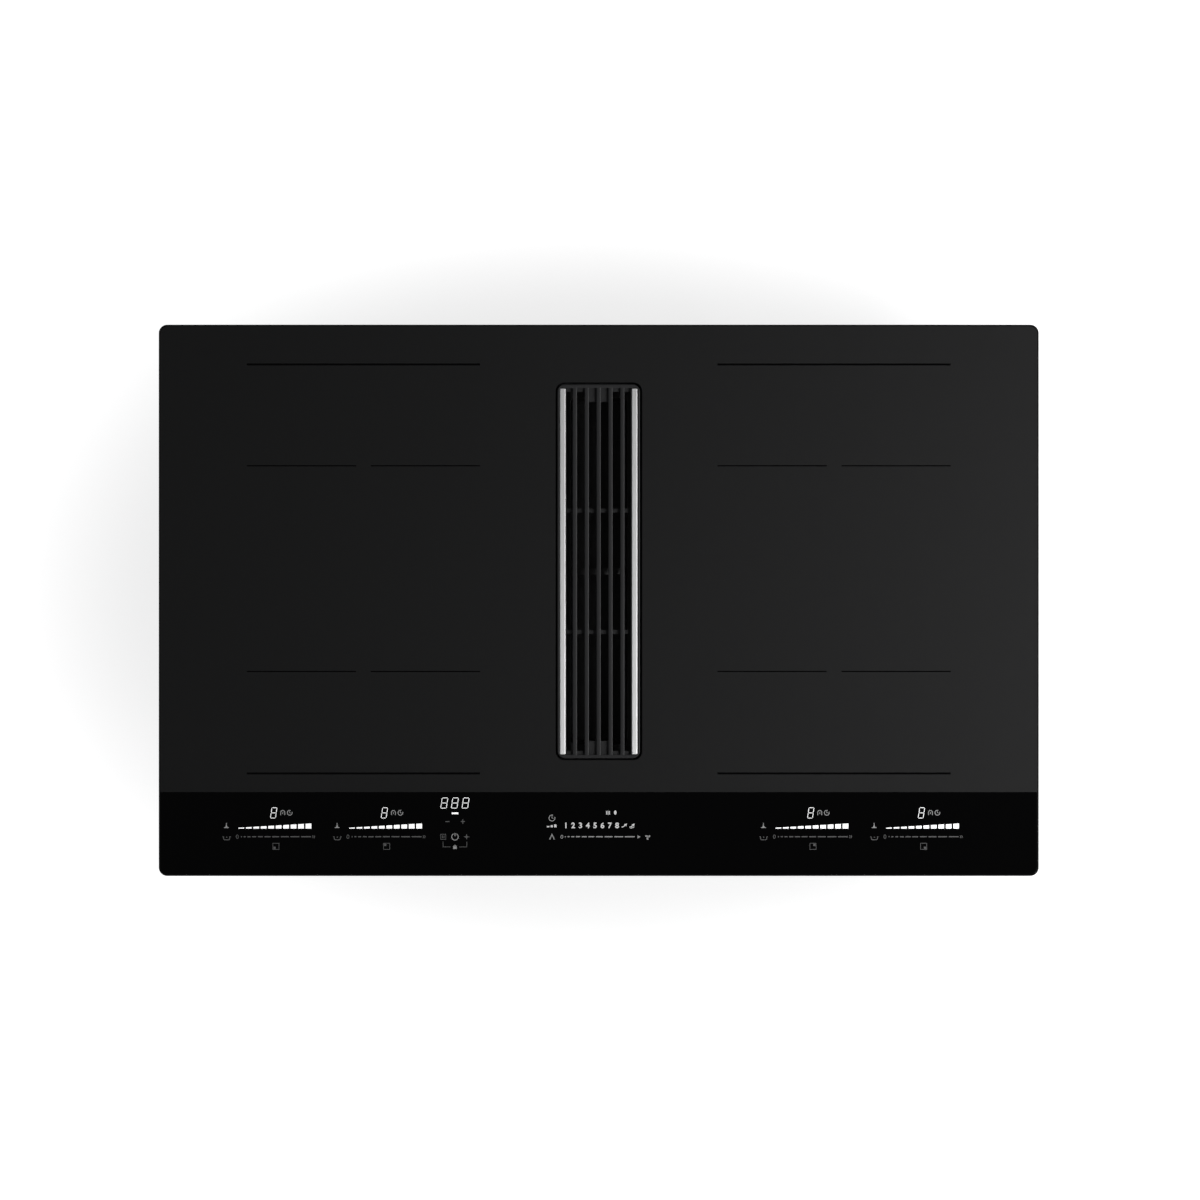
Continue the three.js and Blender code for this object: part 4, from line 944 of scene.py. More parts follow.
def louvre_hood(long, wide, high):
    """A pressed hood over a slot: closed along its upper side, open below."""
    sheet = 0.7 * MM
    rows = []
    for share, lift in ((0.0, 0.0), (0.12, 0.55), (0.3, 0.85), (0.55, 1.0), (1.0, 1.0)):
        row = []
        for along, end in ((-0.5, 0.0), (-0.46, 0.6), (-0.4, 1.0), (0.4, 1.0), (0.46, 0.6), (0.5, 0.0)):
            row.append((along * long * MM, (0.5 - share) * wide * MM, lift * end * high * MM))
        rows.append(row)
    mesh = bmesh.new()
    outer = [[mesh.verts.new(point) for point in row] for row in rows]
    inner = [[mesh.verts.new((x, y, z - sheet)) for x, y, z in row] for row in rows]
    for layer in (outer, inner):
        for first, second in zip(layer, layer[1:]):
            for i in range(len(first) - 1):
                mesh.faces.new((first[i], first[i + 1], second[i + 1], second[i]))

    def border(layer):
        """The vertices round the edge of a layer."""
        right = [row[-1] for row in layer[1:]]
        left = [row[0] for row in layer[-2:0:-1]]
        return [*layer[0], *right, *layer[-1][-2::-1], *left]

    skin(mesh, border(outer), border(inner))
    return finish_mesh(mesh, "louvre_hood", 40)


def quarter_turned(made, *axes, way=1):
    """The mesh after a quarter turn about each of these axes, one after the other."""
    for axis in axes:
        made.transform(Matrix.Rotation(way * pi / 2, 4, axis))
    return made


def loop_band(mesh, profile, width, depth, corner, middle=(0.0, 0.0), steps=8):
    """A closed band round a rounded rectangle. Its profile is [step outwards, height] in millimetres."""
    rings = []
    for out, z in profile:
        rings.append(add_ring(mesh, rounded_outline(
            (width + 2 * out) * MM, (depth + 2 * out) * MM, (corner + out) * MM, steps,
            (middle[0] * MM, middle[1] * MM)), z * MM))
    for first, second in zip(rings, rings[1:] + rings[:1]):
        skin(mesh, first, second)


# ---- Glass ----

class COOKTOP_OT_glass(Operator):
    """Glass plate with a ground bevel, a matt cooking area and a gloss control strip"""

    bl_idname = "cooktop.glass"
    bl_label = "Glass plate"

    def execute(self, context):
        sizes = settings().glass
        mesh = bmesh.new()
        width, depth = GLASS_HIGH.x - GLASS_LOW.x, GLASS_HIGH.y - GLASS_LOW.y
        low, high = GLASS_LOW.z, GLASS_HIGH.z
        arris = 0.2 * MM
        steps = 12

        def edge(inset, z):
            return add_ring(mesh, rounded_outline(
                width - 2 * inset, depth - 2 * inset, sizes.corner - inset * 0.4, steps), z)

        def opening(grow, z):
            return add_ring(mesh, rounded_outline(
                sizes.slot_width + 2 * grow, sizes.slot_length + 2 * grow,
                sizes.slot_corner + grow, steps, (0, sizes.slot_middle)), z)

        outer = [
            edge(arris, low), edge(0, low + arris), edge(0, high - sizes.bevel),
            edge(sizes.bevel - arris, high - arris * 0.8), edge(sizes.bevel, high - arris * 0.2),
            edge(sizes.bevel + arris, high),
        ]
        ease = sizes.bevel / 2
        inner = [opening(arris, low), opening(0, low + arris)]
        for step in range(5):
            angle = step / 4 * pi / 2
            inner.append(opening(ease * (1 - cos(angle)), high - ease * (1 - sin(angle))))
        for rings in (outer, inner):
            for below, above in zip(rings, rings[1:]):
                skin(mesh, below, above)
        for end in (0, -1):
            border = [*ring_edges(mesh, outer[end]), *ring_edges(mesh, inner[end])]
            bmesh.ops.triangle_fill(mesh, edges=border)
        cut_line = bmesh.ops.bisect_plane(
            mesh, geom=[*mesh.verts, *mesh.edges, *mesh.faces], dist=1e-7,
            plane_co=(0, sizes.matt_front, 0), plane_no=(0, 1, 0))
        if not cut_line["geom_cut"]:
            raise RuntimeError("the gloss strip's edge doesn't cross the glass")
        bmesh.ops.recalc_face_normals(mesh, faces=mesh.faces)
        matt, gloss, ground = range(3)
        for face in mesh.faces:
            middle = face.calc_center_median()
            top = face.normal.z > 0.99 and middle.z > high - arris * 0.3
            level = abs(face.normal.z) > 0.99
            face.material_index = matt if top and middle.y > sizes.matt_front else gloss if level else ground
        made = finish_mesh(mesh, "glass_sheet", 20)
        keep_level_faces_flat(made)
        finishes = (matt_glass(), gloss_glass(), ground_edge())
        keep_piece("glass_sheet", made, "hob", finishes, ("glass_plate",))
        return {"FINISHED"}


def print_levels():
    """Underside and top of a printed slab. It is sunk a little into the glass."""
    return GLASS_HIGH.z - 0.1 * MM, GLASS_HIGH.z + settings().glass.print_height


class COOKTOP_OT_zone_lines(Operator):
    """Dark lines that mark the four cooking zones"""

    bl_idname = "cooktop.zone_lines"
    bl_label = "Zone lines"

    def execute(self, context):
        sizes = settings().zones
        low, top = print_levels()
        middle = (sizes.inner + sizes.outer) / 2
        whole = ((sizes.inner, sizes.outer),)
        halves = ((sizes.inner, middle - sizes.gap / 2), (middle + sizes.gap / 2, sizes.outer))
        lines = [(y, sizes.heavy, whole) for y in (sizes.rear, sizes.front)]
        lines += [(y, sizes.fine, halves) for y in (sizes.rear_middle, sizes.front_middle)]
        mesh = bmesh.new()
        for side in (-1, 1):
            for y, width, runs in lines:
                for run in runs:
                    left, right = sorted((side * run[0], side * run[1]))
                    add_block(mesh, (left, y - width / 2, low), (right, y + width / 2, top))
        keep_piece("zone_lines", finish_mesh(mesh, "zone_lines"), "hob", (gloss_glass(),))
        return {"FINISHED"}


# ---- Controls on the gloss strip ----

def group_middles():
    sizes = settings().controls
    return [-sizes.outer_group, -sizes.inner_group, sizes.inner_group, sizes.outer_group]


def bars_tree():
    """A row of bars whose tops follow one rising line."""
    inputs = (
        ("Count", INTEGER, 10), ("Pitch", FLOAT, 0.007), ("Width", FLOAT, 0.0054), ("Low", FLOAT, 0.0012),
        ("High", FLOAT, 0.0048), ("Middle", FLOAT, 0.0), ("Foot", FLOAT, 0.0), ("Under", FLOAT, 0.0),
        ("Top", FLOAT, 0.0),
    )

    def build(tree, entry):
        pitch, width, foot = entry["Pitch"], entry["Width"], entry["Foot"]
        level, thick = level_and_height(tree, entry)
        along = maths(tree, "MULTIPLY_ADD", steps_from_middle(tree, entry["Count"]), pitch, entry["Middle"])
        points = points_at(tree, entry["Count"], combine(tree, along, foot, level))
        size = combine(tree, width, 1 * MM, thick)
        bar = add_node(tree, "GeometryNodeMeshCube", {"Size": size}).outputs["Mesh"]
        whole = add_node(tree, "GeometryNodeRealizeInstances", {"Geometry": copy_to(tree, points, bar)})
        spot = add_node(tree, "GeometryNodeInputPosition").outputs["Position"]
        axes = add_node(tree, "ShaderNodeSeparateXYZ", {"Vector": spot}).outputs
        last = minus(tree, entry["Count"], 1.0)
        reach = maths(tree, "MULTIPLY_ADD", last, pitch, width)
        left = maths(tree, "MULTIPLY_ADD", reach, -0.5, entry["Middle"])
        share = maths(tree, "DIVIDE", minus(tree, axes["X"], left), reach)
        rise = minus(tree, entry["High"], entry["Low"])
        ramp = maths(tree, "MULTIPLY_ADD", share, rise, entry["Low"])
        upper = maths(tree, "GREATER_THAN", axes["Y"], foot)
        new_y = maths(tree, "MULTIPLY_ADD", upper, ramp, foot)
        return add_node(tree, "GeometryNodeSetPosition", {
            "Geometry": whole.outputs["Geometry"],
            "Position": combine(tree, axes["X"], new_y, axes["Z"])}).outputs["Geometry"]

    return geometry_tree("Level bars", inputs, build)


def dashes_tree():
    """A dashed line whose dashes grow by one step each, so that the last ends at the line's end."""
    inputs = (
        ("Count", INTEGER, 10), ("Start", FLOAT, -0.03), ("End", FLOAT, 0.03), ("First", FLOAT, 0.001),
        ("Gap", FLOAT, 0.0013), ("Width", FLOAT, 0.0012), ("Line", FLOAT, 0.0), ("Under", FLOAT, 0.0),
        ("Top", FLOAT, 0.0),
    )

    def build(tree, entry):
        count, first, gap = entry["Count"], entry["First"], entry["Gap"]
        last = minus(tree, count, 1.0)
        span = minus(tree, entry["End"], entry["Start"])
        ink = minus(tree, span, times(tree, last, gap))
        spare = minus(tree, ink, times(tree, count, first))
        pairs = times(tree, times(tree, count, last), 0.5)
        growth = maths(tree, "DIVIDE", spare, pairs)
        index = node_index(tree)
        size = maths(tree, "MULTIPLY_ADD", index, growth, first)
        before = times(tree, minus(tree, index, 1.0), 0.5)
        grown_by = times(tree, times(tree, index, before), growth)
        even_start = maths(tree, "MULTIPLY_ADD", index, plus(tree, first, gap), entry["Start"])
        centre = maths(tree, "MULTIPLY_ADD", size, 0.5, plus(tree, even_start, grown_by))
        level, thick = level_and_height(tree, entry)
        points = points_at(tree, count, combine(tree, centre, entry["Line"], level))
        cube = add_node(tree, "GeometryNodeMeshCube", {"Size": combine(tree, 1.0, entry["Width"], thick)})
        return copy_to(tree, points, cube.outputs["Mesh"], Scale=combine(tree, size, 1.0, 1.0))

    return geometry_tree("Slider dashes", inputs, build)


class COOKTOP_OT_level_bars(Operator):
    """Four rows of lit level bars"""

    bl_idname = "cooktop.level_bars"
    bl_label = "Level bars"

    def execute(self, context):
        sizes = settings().controls
        low, top = print_levels()
        tree = bars_tree()
        rows = [grown(tree, {
            "Count": sizes.bars, "Pitch": sizes.bar_pitch, "Width": sizes.bar_width, "Low": sizes.bar_low,
            "High": sizes.bar_high, "Middle": middle, "Foot": sizes.bar_foot, "Under": low, "Top": top,
            "Material": glowing_ink("lit"),
        }, "level_bar_row") for middle in group_middles()]
        keep_joined("level_bars", rows, "hob")
        return {"FINISHED"}


class COOKTOP_OT_slider_lines(Operator):
    """Five dashed slider lines with growing dashes"""

    bl_idname = "cooktop.slider_lines"
    bl_label = "Slider lines"

    def execute(self, context):
        sizes = settings().controls
        low, top = print_levels()
        tree = dashes_tree()
        rows = [grown(tree, {
            "Count": sizes.dashes, "Start": middle + sizes.slider_start, "End": middle + sizes.slider_end,
            "First": sizes.dash_first, "Gap": sizes.dash_gap, "Width": sizes.slider_width,
            "Line": sizes.slider, "Under": low, "Top": top,
            "Material": glowing_ink("dim" if middle else "fair"),
        }, "slider_row") for middle in (*group_middles(), 0.0)]
        keep_joined("slider_lines", rows, "hob")
        return {"FINISHED"}


class Pen:
    """Draws flat shapes on the glass about a moving origin. Its numbers are millimetres."""

    def __init__(self):
        self.mesh = bmesh.new()
        self.levels = print_levels()
        self.stroke = settings().controls.stroke / MM
        self.x = self.y = 0.0

    def at(self, x, y):
        self.x, self.y = x, y
        return self

    def moved(self, points):
        return [((self.x + x) * MM, (self.y + y) * MM) for x, y in points]

    def fill(self, points):
        add_slab(self.mesh, self.moved(points), *self.levels)

    def line(self, points, width=None, closed=False):
        add_stroke(self.mesh, self.moved(points), (width or self.stroke) * MM, *self.levels, closed)

    def box(self, x, y, width, height):
        left, right, low, high = x - width / 2, x + width / 2, y - height / 2, y + height / 2
        self.fill([(left, low), (right, low), (right, high), (left, high)])

    def square(self, half, width):
        self.line([(-half, -half), (half, -half), (half, half), (-half, half)], width, closed=True)

    def ring(self, x, y, radius, width=None, squeeze=1.0):
        self.line(oval(x, y, radius * squeeze, radius), width, closed=True)

    def arc(self, x, y, radius, start, end, width=None, steps=10):
        turns = [radians(start + (end - start) * i / steps) for i in range(steps + 1)]
        self.line([(x + radius * cos(turn), y + radius * sin(turn)) for turn in turns], width)

    def digit(self, height=10.3, width=5.3, stroke=0.54, slant=0.15):
        """An eight made of seven slanted segments with pointed ends."""
        gap = 0.26
        tip = stroke / 2
        half, reach = height / 2 - tip, width / 2 - tip

        def segment(x0, y0, x1, y1):
            span = hypot(x1 - x0, y1 - y0)
            ux, uy = (x1 - x0) / span, (y1 - y0) / span
            start, end = gap, span - gap
            near, far = start + tip, end - tip
            corners = ((start, 0), (near, -tip), (far, -tip), (end, 0), (far, tip), (near, tip))
            points = []
            for run, side in corners:
                y = y0 + uy * run + ux * side
                points.append((x0 + ux * run - uy * side + slant * y, y))
            self.fill(points)

        for y in (-half, 0, half):
            segment(-reach, y, reach, y)
        for x in (-reach, reach):
            segment(x, -half, x, 0)
            segment(x, 0, x, half)


def bridge_symbol(pen):
    pen.line([(-1.9, -2.2), (-1.9, 0.9), (-0.9, 2.1), (0.9, 2.1), (1.9, 0.9), (1.9, -2.2)])
    pen.box(0, -0.3, 0.7, 1.5)


def clock_symbol(pen, radius=2.3):
    pen.arc(0, 0, radius, 70, 380, steps=16)
    pen.line([(0, radius * 0.6), (0, 0), (radius * 0.45, -radius * 0.1)], 0.5)


def warm_symbol(pen):
    pen.box(0, -2.0, 4.4, 0.8)
    pen.fill([(-1.1, -1.6), (1.1, -1.6), (0.35, 0.2), (0.3, 2.4), (-0.3, 2.4), (-0.35, 0.2)])


def pan_symbol(pen):
    pen.line([(-3.9, 0.9), (-3.0, 0.9), (-2.8, -1.2), (-2.0, -1.9), (2.0, -1.9), (2.8, -1.2), (3.0, 0.9),
              (3.9, 0.9)])
    pen.box(0, 0.6, 0.9, 0.9)


def zone_symbol(pen, quarter_x, quarter_y):
    pen.square(2.9, 0.45)
    pen.box(quarter_x * 1.35, quarter_y * 1.35, 2.1, 2.1)


def end_symbols(pen):
    pen.at(pen.x - 35.5, pen.y).ring(0, 0, 1.7, 0.5, squeeze=0.6)
    pen.at(pen.x + 72.0, pen.y)
    for shift in (-0.8, 0.6):
        pen.line([(shift - 0.4, -1.3), (shift + 0.5, 0), (shift - 0.4, 1.3)], 0.55)


def power_symbol(pen):
    pen.arc(0, 0, 3.1, 115, 425, steps=20)
    pen.line([(0, 0.6), (0, 3.6)])


def pause_symbol(pen):
    pen.square(2.4, 0.45)
    for x in (-0.8, 0.8):
        pen.box(x, 0, 0.7, 2.4)


def star_symbol(pen):
    points = []
    for i in range(8):
        reach = 2.9 if i % 2 == 0 else 0.9
        points.append((reach * cos(i * pi / 4), reach * sin(i * pi / 4)))
    pen.fill(points)


def lock_symbol(pen):
    pen.box(0, -0.7, 3.4, 2.4)
    pen.arc(0, 0.5, 1.1, 0, 180, 0.5)


def rise_symbol(pen, twice=False):
    pen.line([(-2.6, -1.4), (-0.8, -0.9), (0.9, 0.6)], 0.8)
    pen.fill([(2.4, 2.0), (-0.3, 1.4), (1.7, -0.6)])
    if twice:
        pen.line([(-1.6, -2.4), (0.4, -1.9), (1.9, -1.0)], 0.6)


def fan_symbol(pen):
    petal = oval(0, 0, 1.25, 0.8, 12)
    for i in range(3):
        turn = tau * i / 3 + 0.4
        lean = turn + 0.5
        x, y = 1.55 * cos(turn), 1.55 * sin(turn)
        pen.fill([(x + u * cos(lean) - v * sin(lean), y + u * sin(lean) + v * cos(lean)) for u, v in petal])
    pen.ring(0, 0, 0.45, 0.35)


# Rows on the strip, and the middle of the timer, in millimetres
SYMBOL_ROW = -200.4
NUMBER_ROW = -212.6
KEY_ROW = -223.1
LOCK_ROW = -232.6
TIMER = -135.6


class COOKTOP_OT_display_digits(Operator):
    """Lit digits above the level bars and in the timer"""

    bl_idname = "cooktop.display_digits"
    bl_label = "Display digits"

    def execute(self, context):
        pen = Pen()
        for middle in group_middles():
            pen.at(middle / MM - 1.1, -200.5).digit()
        for x in (-145.7, -135.7, -125.6):
            pen.at(x, -191.2).digit(10.2, 5.9)
        pen.at(TIMER, -200.9).box(0, 0, 6.2, 1.6)
        made = finish_mesh(pen.mesh, "display_digits")
        keep_piece("display_digits", made, "hob", (glowing_ink("lit"),))
        return {"FINISHED"}


class COOKTOP_OT_symbols(Operator):
    """Printed symbols beside the bars, in the timer and in the middle"""

    bl_idname = "cooktop.symbols"
    bl_label = "Control symbols"

    def execute(self, context):
        pens = {kind: Pen() for kind in ("clear", "fair", "dim")}
        fair, dim = pens["fair"], pens["dim"]
        for middle, quarter in zip(group_middles(), ((-1, -1), (-1, 1), (1, 1), (1, -1))):
            x = middle / MM
            bridge_symbol(fair.at(x + 7.4, SYMBOL_ROW))
            clock_symbol(fair.at(x + 14.0, SYMBOL_ROW))
            warm_symbol(fair.at(x - 45.7, -212.4))
            pan_symbol(dim.at(x - 45.5, -224.0))
            zone_symbol(dim.at(x + 1.0, -232.1), *quarter)
            end_symbols(dim.at(x, -223.0))
        self.timer(dim)
        power_symbol(fair.at(TIMER, KEY_ROW))
        lock_symbol(fair.at(TIMER - 0.05, LOCK_ROW))
        self.middle_bright(pens["clear"])
        self.middle_fair(fair)
        for kind, pen in pens.items():
            name = f"{kind}_symbols"
            keep_piece(name, finish_mesh(pen.mesh, name), "hob", (glowing_ink(kind),))
        return {"FINISHED"}

    def timer(self, pen):
        """Minus and plus, pause and star, and the bracket that joins them to the lock."""
        for x in (-142.7, -128.2):
            pen.at(x, -208.7).box(0, 0, 3.8, 0.8)
        for y in (1.2, -1.2):
            pen.box(0, y, 0.8, 1.5)
        pause_symbol(pen.at(-146.7, KEY_ROW))
        star_symbol(pen.at(-124.6, KEY_ROW))
        pen.at(TIMER - 0.05, LOCK_ROW)
        for side in (-1, 1):
            pen.line([(side * 11.2, 4.9), (side * 11.2, 0), (side * 4.2, 0)], 0.5)

    def middle_bright(self, pen):
        pen.at(-44.3, -213.1)
        for i in range(3):
            pen.box(3.4 * (i - 1), 0.35 * i - 0.4, 2.2, 1.2 + 0.7 * i)
        rise_symbol(pen.at(24.2, NUMBER_ROW))
        rise_symbol(pen.at(31.5, NUMBER_ROW), twice=True)
        pen.at(8.8, SYMBOL_ROW)
        for i in range(3):
            pen.box(1.4 * (i - 1), 0, 0.7, 4.0 - 0.6 * abs(i - 1))
        pen.at(15.6, -200.2).fill(oval(0, 0, 1.2, 2.0, 16))

    def middle_fair(self, pen):
        clock_symbol(pen.at(-44.1, -205.4), 2.8)
        fan_symbol(pen.at(46.2, -223.3))
        pen.at(-44.1, -223.3).line([(-2.2, -2.3), (0, 2.5), (2.2, -2.3)], 0.8)
        pen.at(-34.8, KEY_ROW).ring(0, 0, 1.5, 0.5, squeeze=0.7)
        pen.at(37.9, KEY_ROW).fill([(-1.3, -1.5), (1.5, 0), (-1.3, 1.5)])


class COOKTOP_OT_number_row(Operator):
    """Plain numbers for the fan's levels"""

    bl_idname = "cooktop.number_row"
    bl_label = "Number row"

    def execute(self, context):
        low, top = print_levels()
        first, pitch, size = -31.0, 6.9, 7.2
        rows = []
        for i in range(8):
            text = bpy.data.curves.new("number", "FONT")
            text.body = str(i + 1)
            text.size = size * MM
            text.offset = 0.22 * MM
            text.extrude = (top - low) / 2
            text.align_x = "CENTER"
            text.align_y = "CENTER"
            text.resolution_u = 4
            holder = bpy.data.objects.new("number", text)
            bpy.context.scene.collection.objects.link(holder)
            made = baked(holder, "number")
            place = ((first + pitch * i) * MM, NUMBER_ROW * MM, (low + top) / 2)
            made.transform(Matrix.Translation(place))
            rows.append(made)
        made = joined_meshes(rows, "number_row")[0]
        whole = bmesh.new()
        whole.from_mesh(made)
        bmesh.ops.remove_doubles(whole, verts=whole.verts, dist=0.5e-6)
        whole.to_mesh(made)
        whole.free()
        keep_piece("number_row", made, "hob", (glowing_ink("clear"),))
        return {"FINISHED"}


# ---- Grille ----

def slats_tree():
    """Straight bars with rounded edges, side by side about the middle."""
    inputs = (
        ("Count", INTEGER, 5), ("Pitch", FLOAT, 0.0112), ("Width", FLOAT, 0.004), ("Under", FLOAT, 0.0),
        ("Top", FLOAT, 0.0), ("Front", FLOAT, 0.0), ("Rear", FLOAT, 0.0), ("Radius", FLOAT, 0.0008),
    )

    def build(tree, entry):
        along = times(tree, steps_from_middle(tree, entry["Count"]), entry["Pitch"])
        level, tall = level_and_height(tree, entry)
        points = points_at(tree, entry["Count"], combine(tree, along, 0.0, level))
        shape = add_node(tree, "GeometryNodeCurvePrimitiveQuadrilateral", {
            "Width": entry["Width"], "Height": tall}).outputs["Curve"]
        eased = add_node(tree, "GeometryNodeFilletCurve", {
            "Curve": shape, "Radius": entry["Radius"], "Count": 5}, mode="POLY").outputs["Curve"]
        path = add_node(tree, "GeometryNodeCurvePrimitiveLine", {
            "Start": combine(tree, 0.0, entry["Front"], 0.0),
            "End": combine(tree, 0.0, entry["Rear"], 0.0)}).outputs["Curve"]
        bar = add_node(tree, "GeometryNodeCurveToMesh", {
            "Curve": path, "Profile Curve": eased, "Fill Caps": True}).outputs["Mesh"]
        return copy_to(tree, points, bar)

    return geometry_tree("Slats", inputs, build)


class COOKTOP_OT_grille(Operator):
    """Coated grille: rim, seats for the bright bars, end tabs, cross ribs and slats"""

    bl_idname = "cooktop.grille"
    bl_label = "Grille"

    def execute(self, context):
        sizes = settings().grille
        frame_mesh = self.frame_body(sizes)
        frame_mesh.materials.append(grille_coat())
        slats = grown(slats_tree(), {
            "Count": sizes.slats, "Pitch": sizes.pitch, "Width": sizes.slat_width, "Under": sizes.slat_under,
            "Top": GRILLE_HIGH.z, "Front": sizes.front - OVERLAP, "Rear": sizes.rear + OVERLAP,
            "Radius": 0.7 * MM, "Material": grille_coat(),
        }, "grille_slats")
        smooth(slats, 40)
        made, materials = joined_meshes([frame_mesh, slats], "grille_body")
        smooth(made, 35)
        keep_piece("grille_body", made, "grille", materials, ("grille",))
        return {"FINISHED"}

    def frame_body(self, sizes):
        mesh = bmesh.new()
        middle = settings().glass.slot_middle
        width, depth = GRILLE_HIGH.x - GRILLE_LOW.x, GRILLE_HIGH.y - GRILLE_LOW.y
        bar_inner = TRIM_LOW.x - 0.3 * MM
        slot_outer = bar_inner - 0.6 * MM
        rim_inner = width / 2 - sizes.rim
        top, floor = GRILLE_HIGH.z, GRILLE_LOW.z + 0.2 * MM
        long, slot_middle = sizes.rear - sizes.front, (sizes.rear + sizes.front) / 2
        short = long - 2 * sizes.tab_short
        ease, lip = 0.6 * MM, 0.35 * MM

        def ring(inset, z):
            return add_ring(mesh, rounded_outline(
                width - 2 * inset, depth - 2 * inset, sizes.corner - inset, 10, (0, middle)), z)

        def hole(half, reach, z):
            return add_ring(mesh, rounded_outline(2 * half, reach, 0.4 * MM, 10, (0, slot_middle)), z)

        rings = [ring(0, floor), ring(0, top - ease)]
        for step in range(1, 5):
            angle = step / 4 * pi / 2
            rings.append(ring(ease * (1 - cos(angle)), top - ease * (1 - sin(angle))))
        rings += [
            hole(rim_inner + lip, long + 2 * lip, top),
            hole(rim_inner + lip * 0.3, long + lip * 0.6, top - lip * 0.3),
            hole(rim_inner, long, top - lip), hole(rim_inner, long, sizes.seat),
            hole(slot_outer, short, sizes.seat), hole(slot_outer, short, floor),
        ]
        for below, above in zip(rings, rings[1:] + rings[:1]):
            skin(mesh, below, above)
        for side in (-1, 1):
            left, right = sorted((side * slot_outer, side * bar_inner))
            add_block(mesh, (left, sizes.front, sizes.seat - 0.2 * MM), (right, sizes.rear, top - lip))
        for left, right, front, rear in self.tabs(sizes, slot_outer):
            add_block(mesh, (left, front, sizes.slat_under), (right, rear, sizes.tab_top))
        reach = slot_outer + OVERLAP
        for end in (-1, 1):
            y = middle + end * sizes.rib_offset
            add_block(mesh, (-reach, y - sizes.rib_width / 2, sizes.slat_under),
                      (reach, y + sizes.rib_width / 2, sizes.rib_top))
        return finish_mesh(mesh, "grille_frame", 35)

    def tabs(self, sizes, slot_outer):
        """Left, right, front and rear of each low tab between two slats."""
        found = []
        for side in (-1, 1):
            for slot in range(3):
                near = slot * sizes.pitch + sizes.slat_width / 2 - OVERLAP
                far = near + sizes.pitch - sizes.slat_width + 2 * OVERLAP if slot < 2 else slot_outer
                reach = sizes.tab_long if slot == 0 else sizes.tab_short
                across = sorted((side * near, side * far))
                found.append((*across, sizes.front - OVERLAP, sizes.front + reach))
                found.append((*across, sizes.rear - reach, sizes.rear + OVERLAP))
        return found


class COOKTOP_OT_trims(Operator):
    """Two bright brushed bars let into the grille"""

    bl_idname = "cooktop.trims"
    bl_label = "Bright bars"

    def execute(self, context):
        for side in SIDES:
            name, node = f"bright_bar_{side}", f"grille_trim_{side}"
            mesh = bmesh.new()
            add_block(mesh, *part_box(node))
            made = rounded(finish_mesh(mesh, name), 0.8 * MM, 4)
            keep_piece(name, made, "grille", (bright_steel(),), (node,))
        return {"FINISHED"}


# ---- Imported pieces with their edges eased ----

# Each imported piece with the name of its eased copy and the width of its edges, in millimetres
EASED_ON_BOTH_SIDES = {
    "coil_rail": ("coil_frame", 0.2),
    "heat_sink": ("cooling_comb", 0.2),
    "cooling_fan_frame": ("fan_case", 0.4),
    "cooling_fan_rotor": ("fan_wheel", 0.2),
}
EASED = {
    "casing_tray": ("casing_sheet", 0.3),
    "intake_channel": ("throat_moulding", 0.4),
    "intake_hood": ("plenum_hood", 0.5),
    "blower_base": ("scroll_housing", 0.5),
    "blower_cover": ("housing_cover", 0.4),
    "outlet_spigot": ("duct_spigot", 0.4),
    "terminal_box": ("wiring_box", 0.4),
    "terminal_cover": ("wiring_lid", 0.4),
    "terminal_block": ("clamp_block", 0.3),
    "terminal_pin": ("lid_pin", 0.2),
    "blower_control_box": ("control_case", 0.5),
    "blower_control_cover": ("control_lid", 0.5),
    **{f"fixing_clip_{corner}": (f"clip_spring_{corner}", 0.15) for corner in CORNERS},
    **{f"{node}_{side}": (f"{name}_{side}", width)
       for node, (name, width) in EASED_ON_BOTH_SIDES.items() for side in SIDES},
    "touch_carrier": ("touch_tray", 0.3),
    "blower_motor": ("motor_can", 0.4),
    "motor_shaft": ("motor_axle", 0.3),
    "impeller_hub": ("wheel_hub", 0.4),
    "grease_filter": ("filter_basket", 0.3),
    "drip_tray": ("grease_pan", 0.25),
}

OWN_FINISHES = {
    # The filter's steel is painted near black: painted shade for the dark deep under the grille's slots, as a
    # real filter is bright.
    "grease_filter": lambda: drawn_metal("filter_steel", (0.05, 0.05, 0.05), 0.45, (900.0, 30.0, 900.0)),
}


SLOTS = {part["node"]: part["material_slot"] for part in frame["record"]["subparts"]}


def body_under(node):
    return body_of(frame["nodes"][node])[0]


def packed_mesh(node, name):
    """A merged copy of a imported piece, with its flat sides made whole again."""
    mesh = bmesh.new()
    mesh.from_mesh(frame["nodes"][node].data)
    bmesh.ops.remove_doubles(mesh, verts=mesh.verts, dist=2e-6)
    bmesh.ops.dissolve_limit(mesh, angle_limit=radians(0.5), verts=mesh.verts, edges=mesh.edges)
    return finish_mesh(mesh, name)


def keep_rounded(node, name, width, segments=2, finish=None):
    """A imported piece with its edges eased, in its own finish or in the one of its slot."""
    made = rounded(packed_mesh(node, name), width * MM, segments)
    if not made.polygons:
        raise RuntimeError(f"{name} came out empty")
    slot = SLOTS[node]
    keep_piece(name, made, body_under(node), ((finish or SLOT_FINISHES[slot])(),), (node,))
    return made


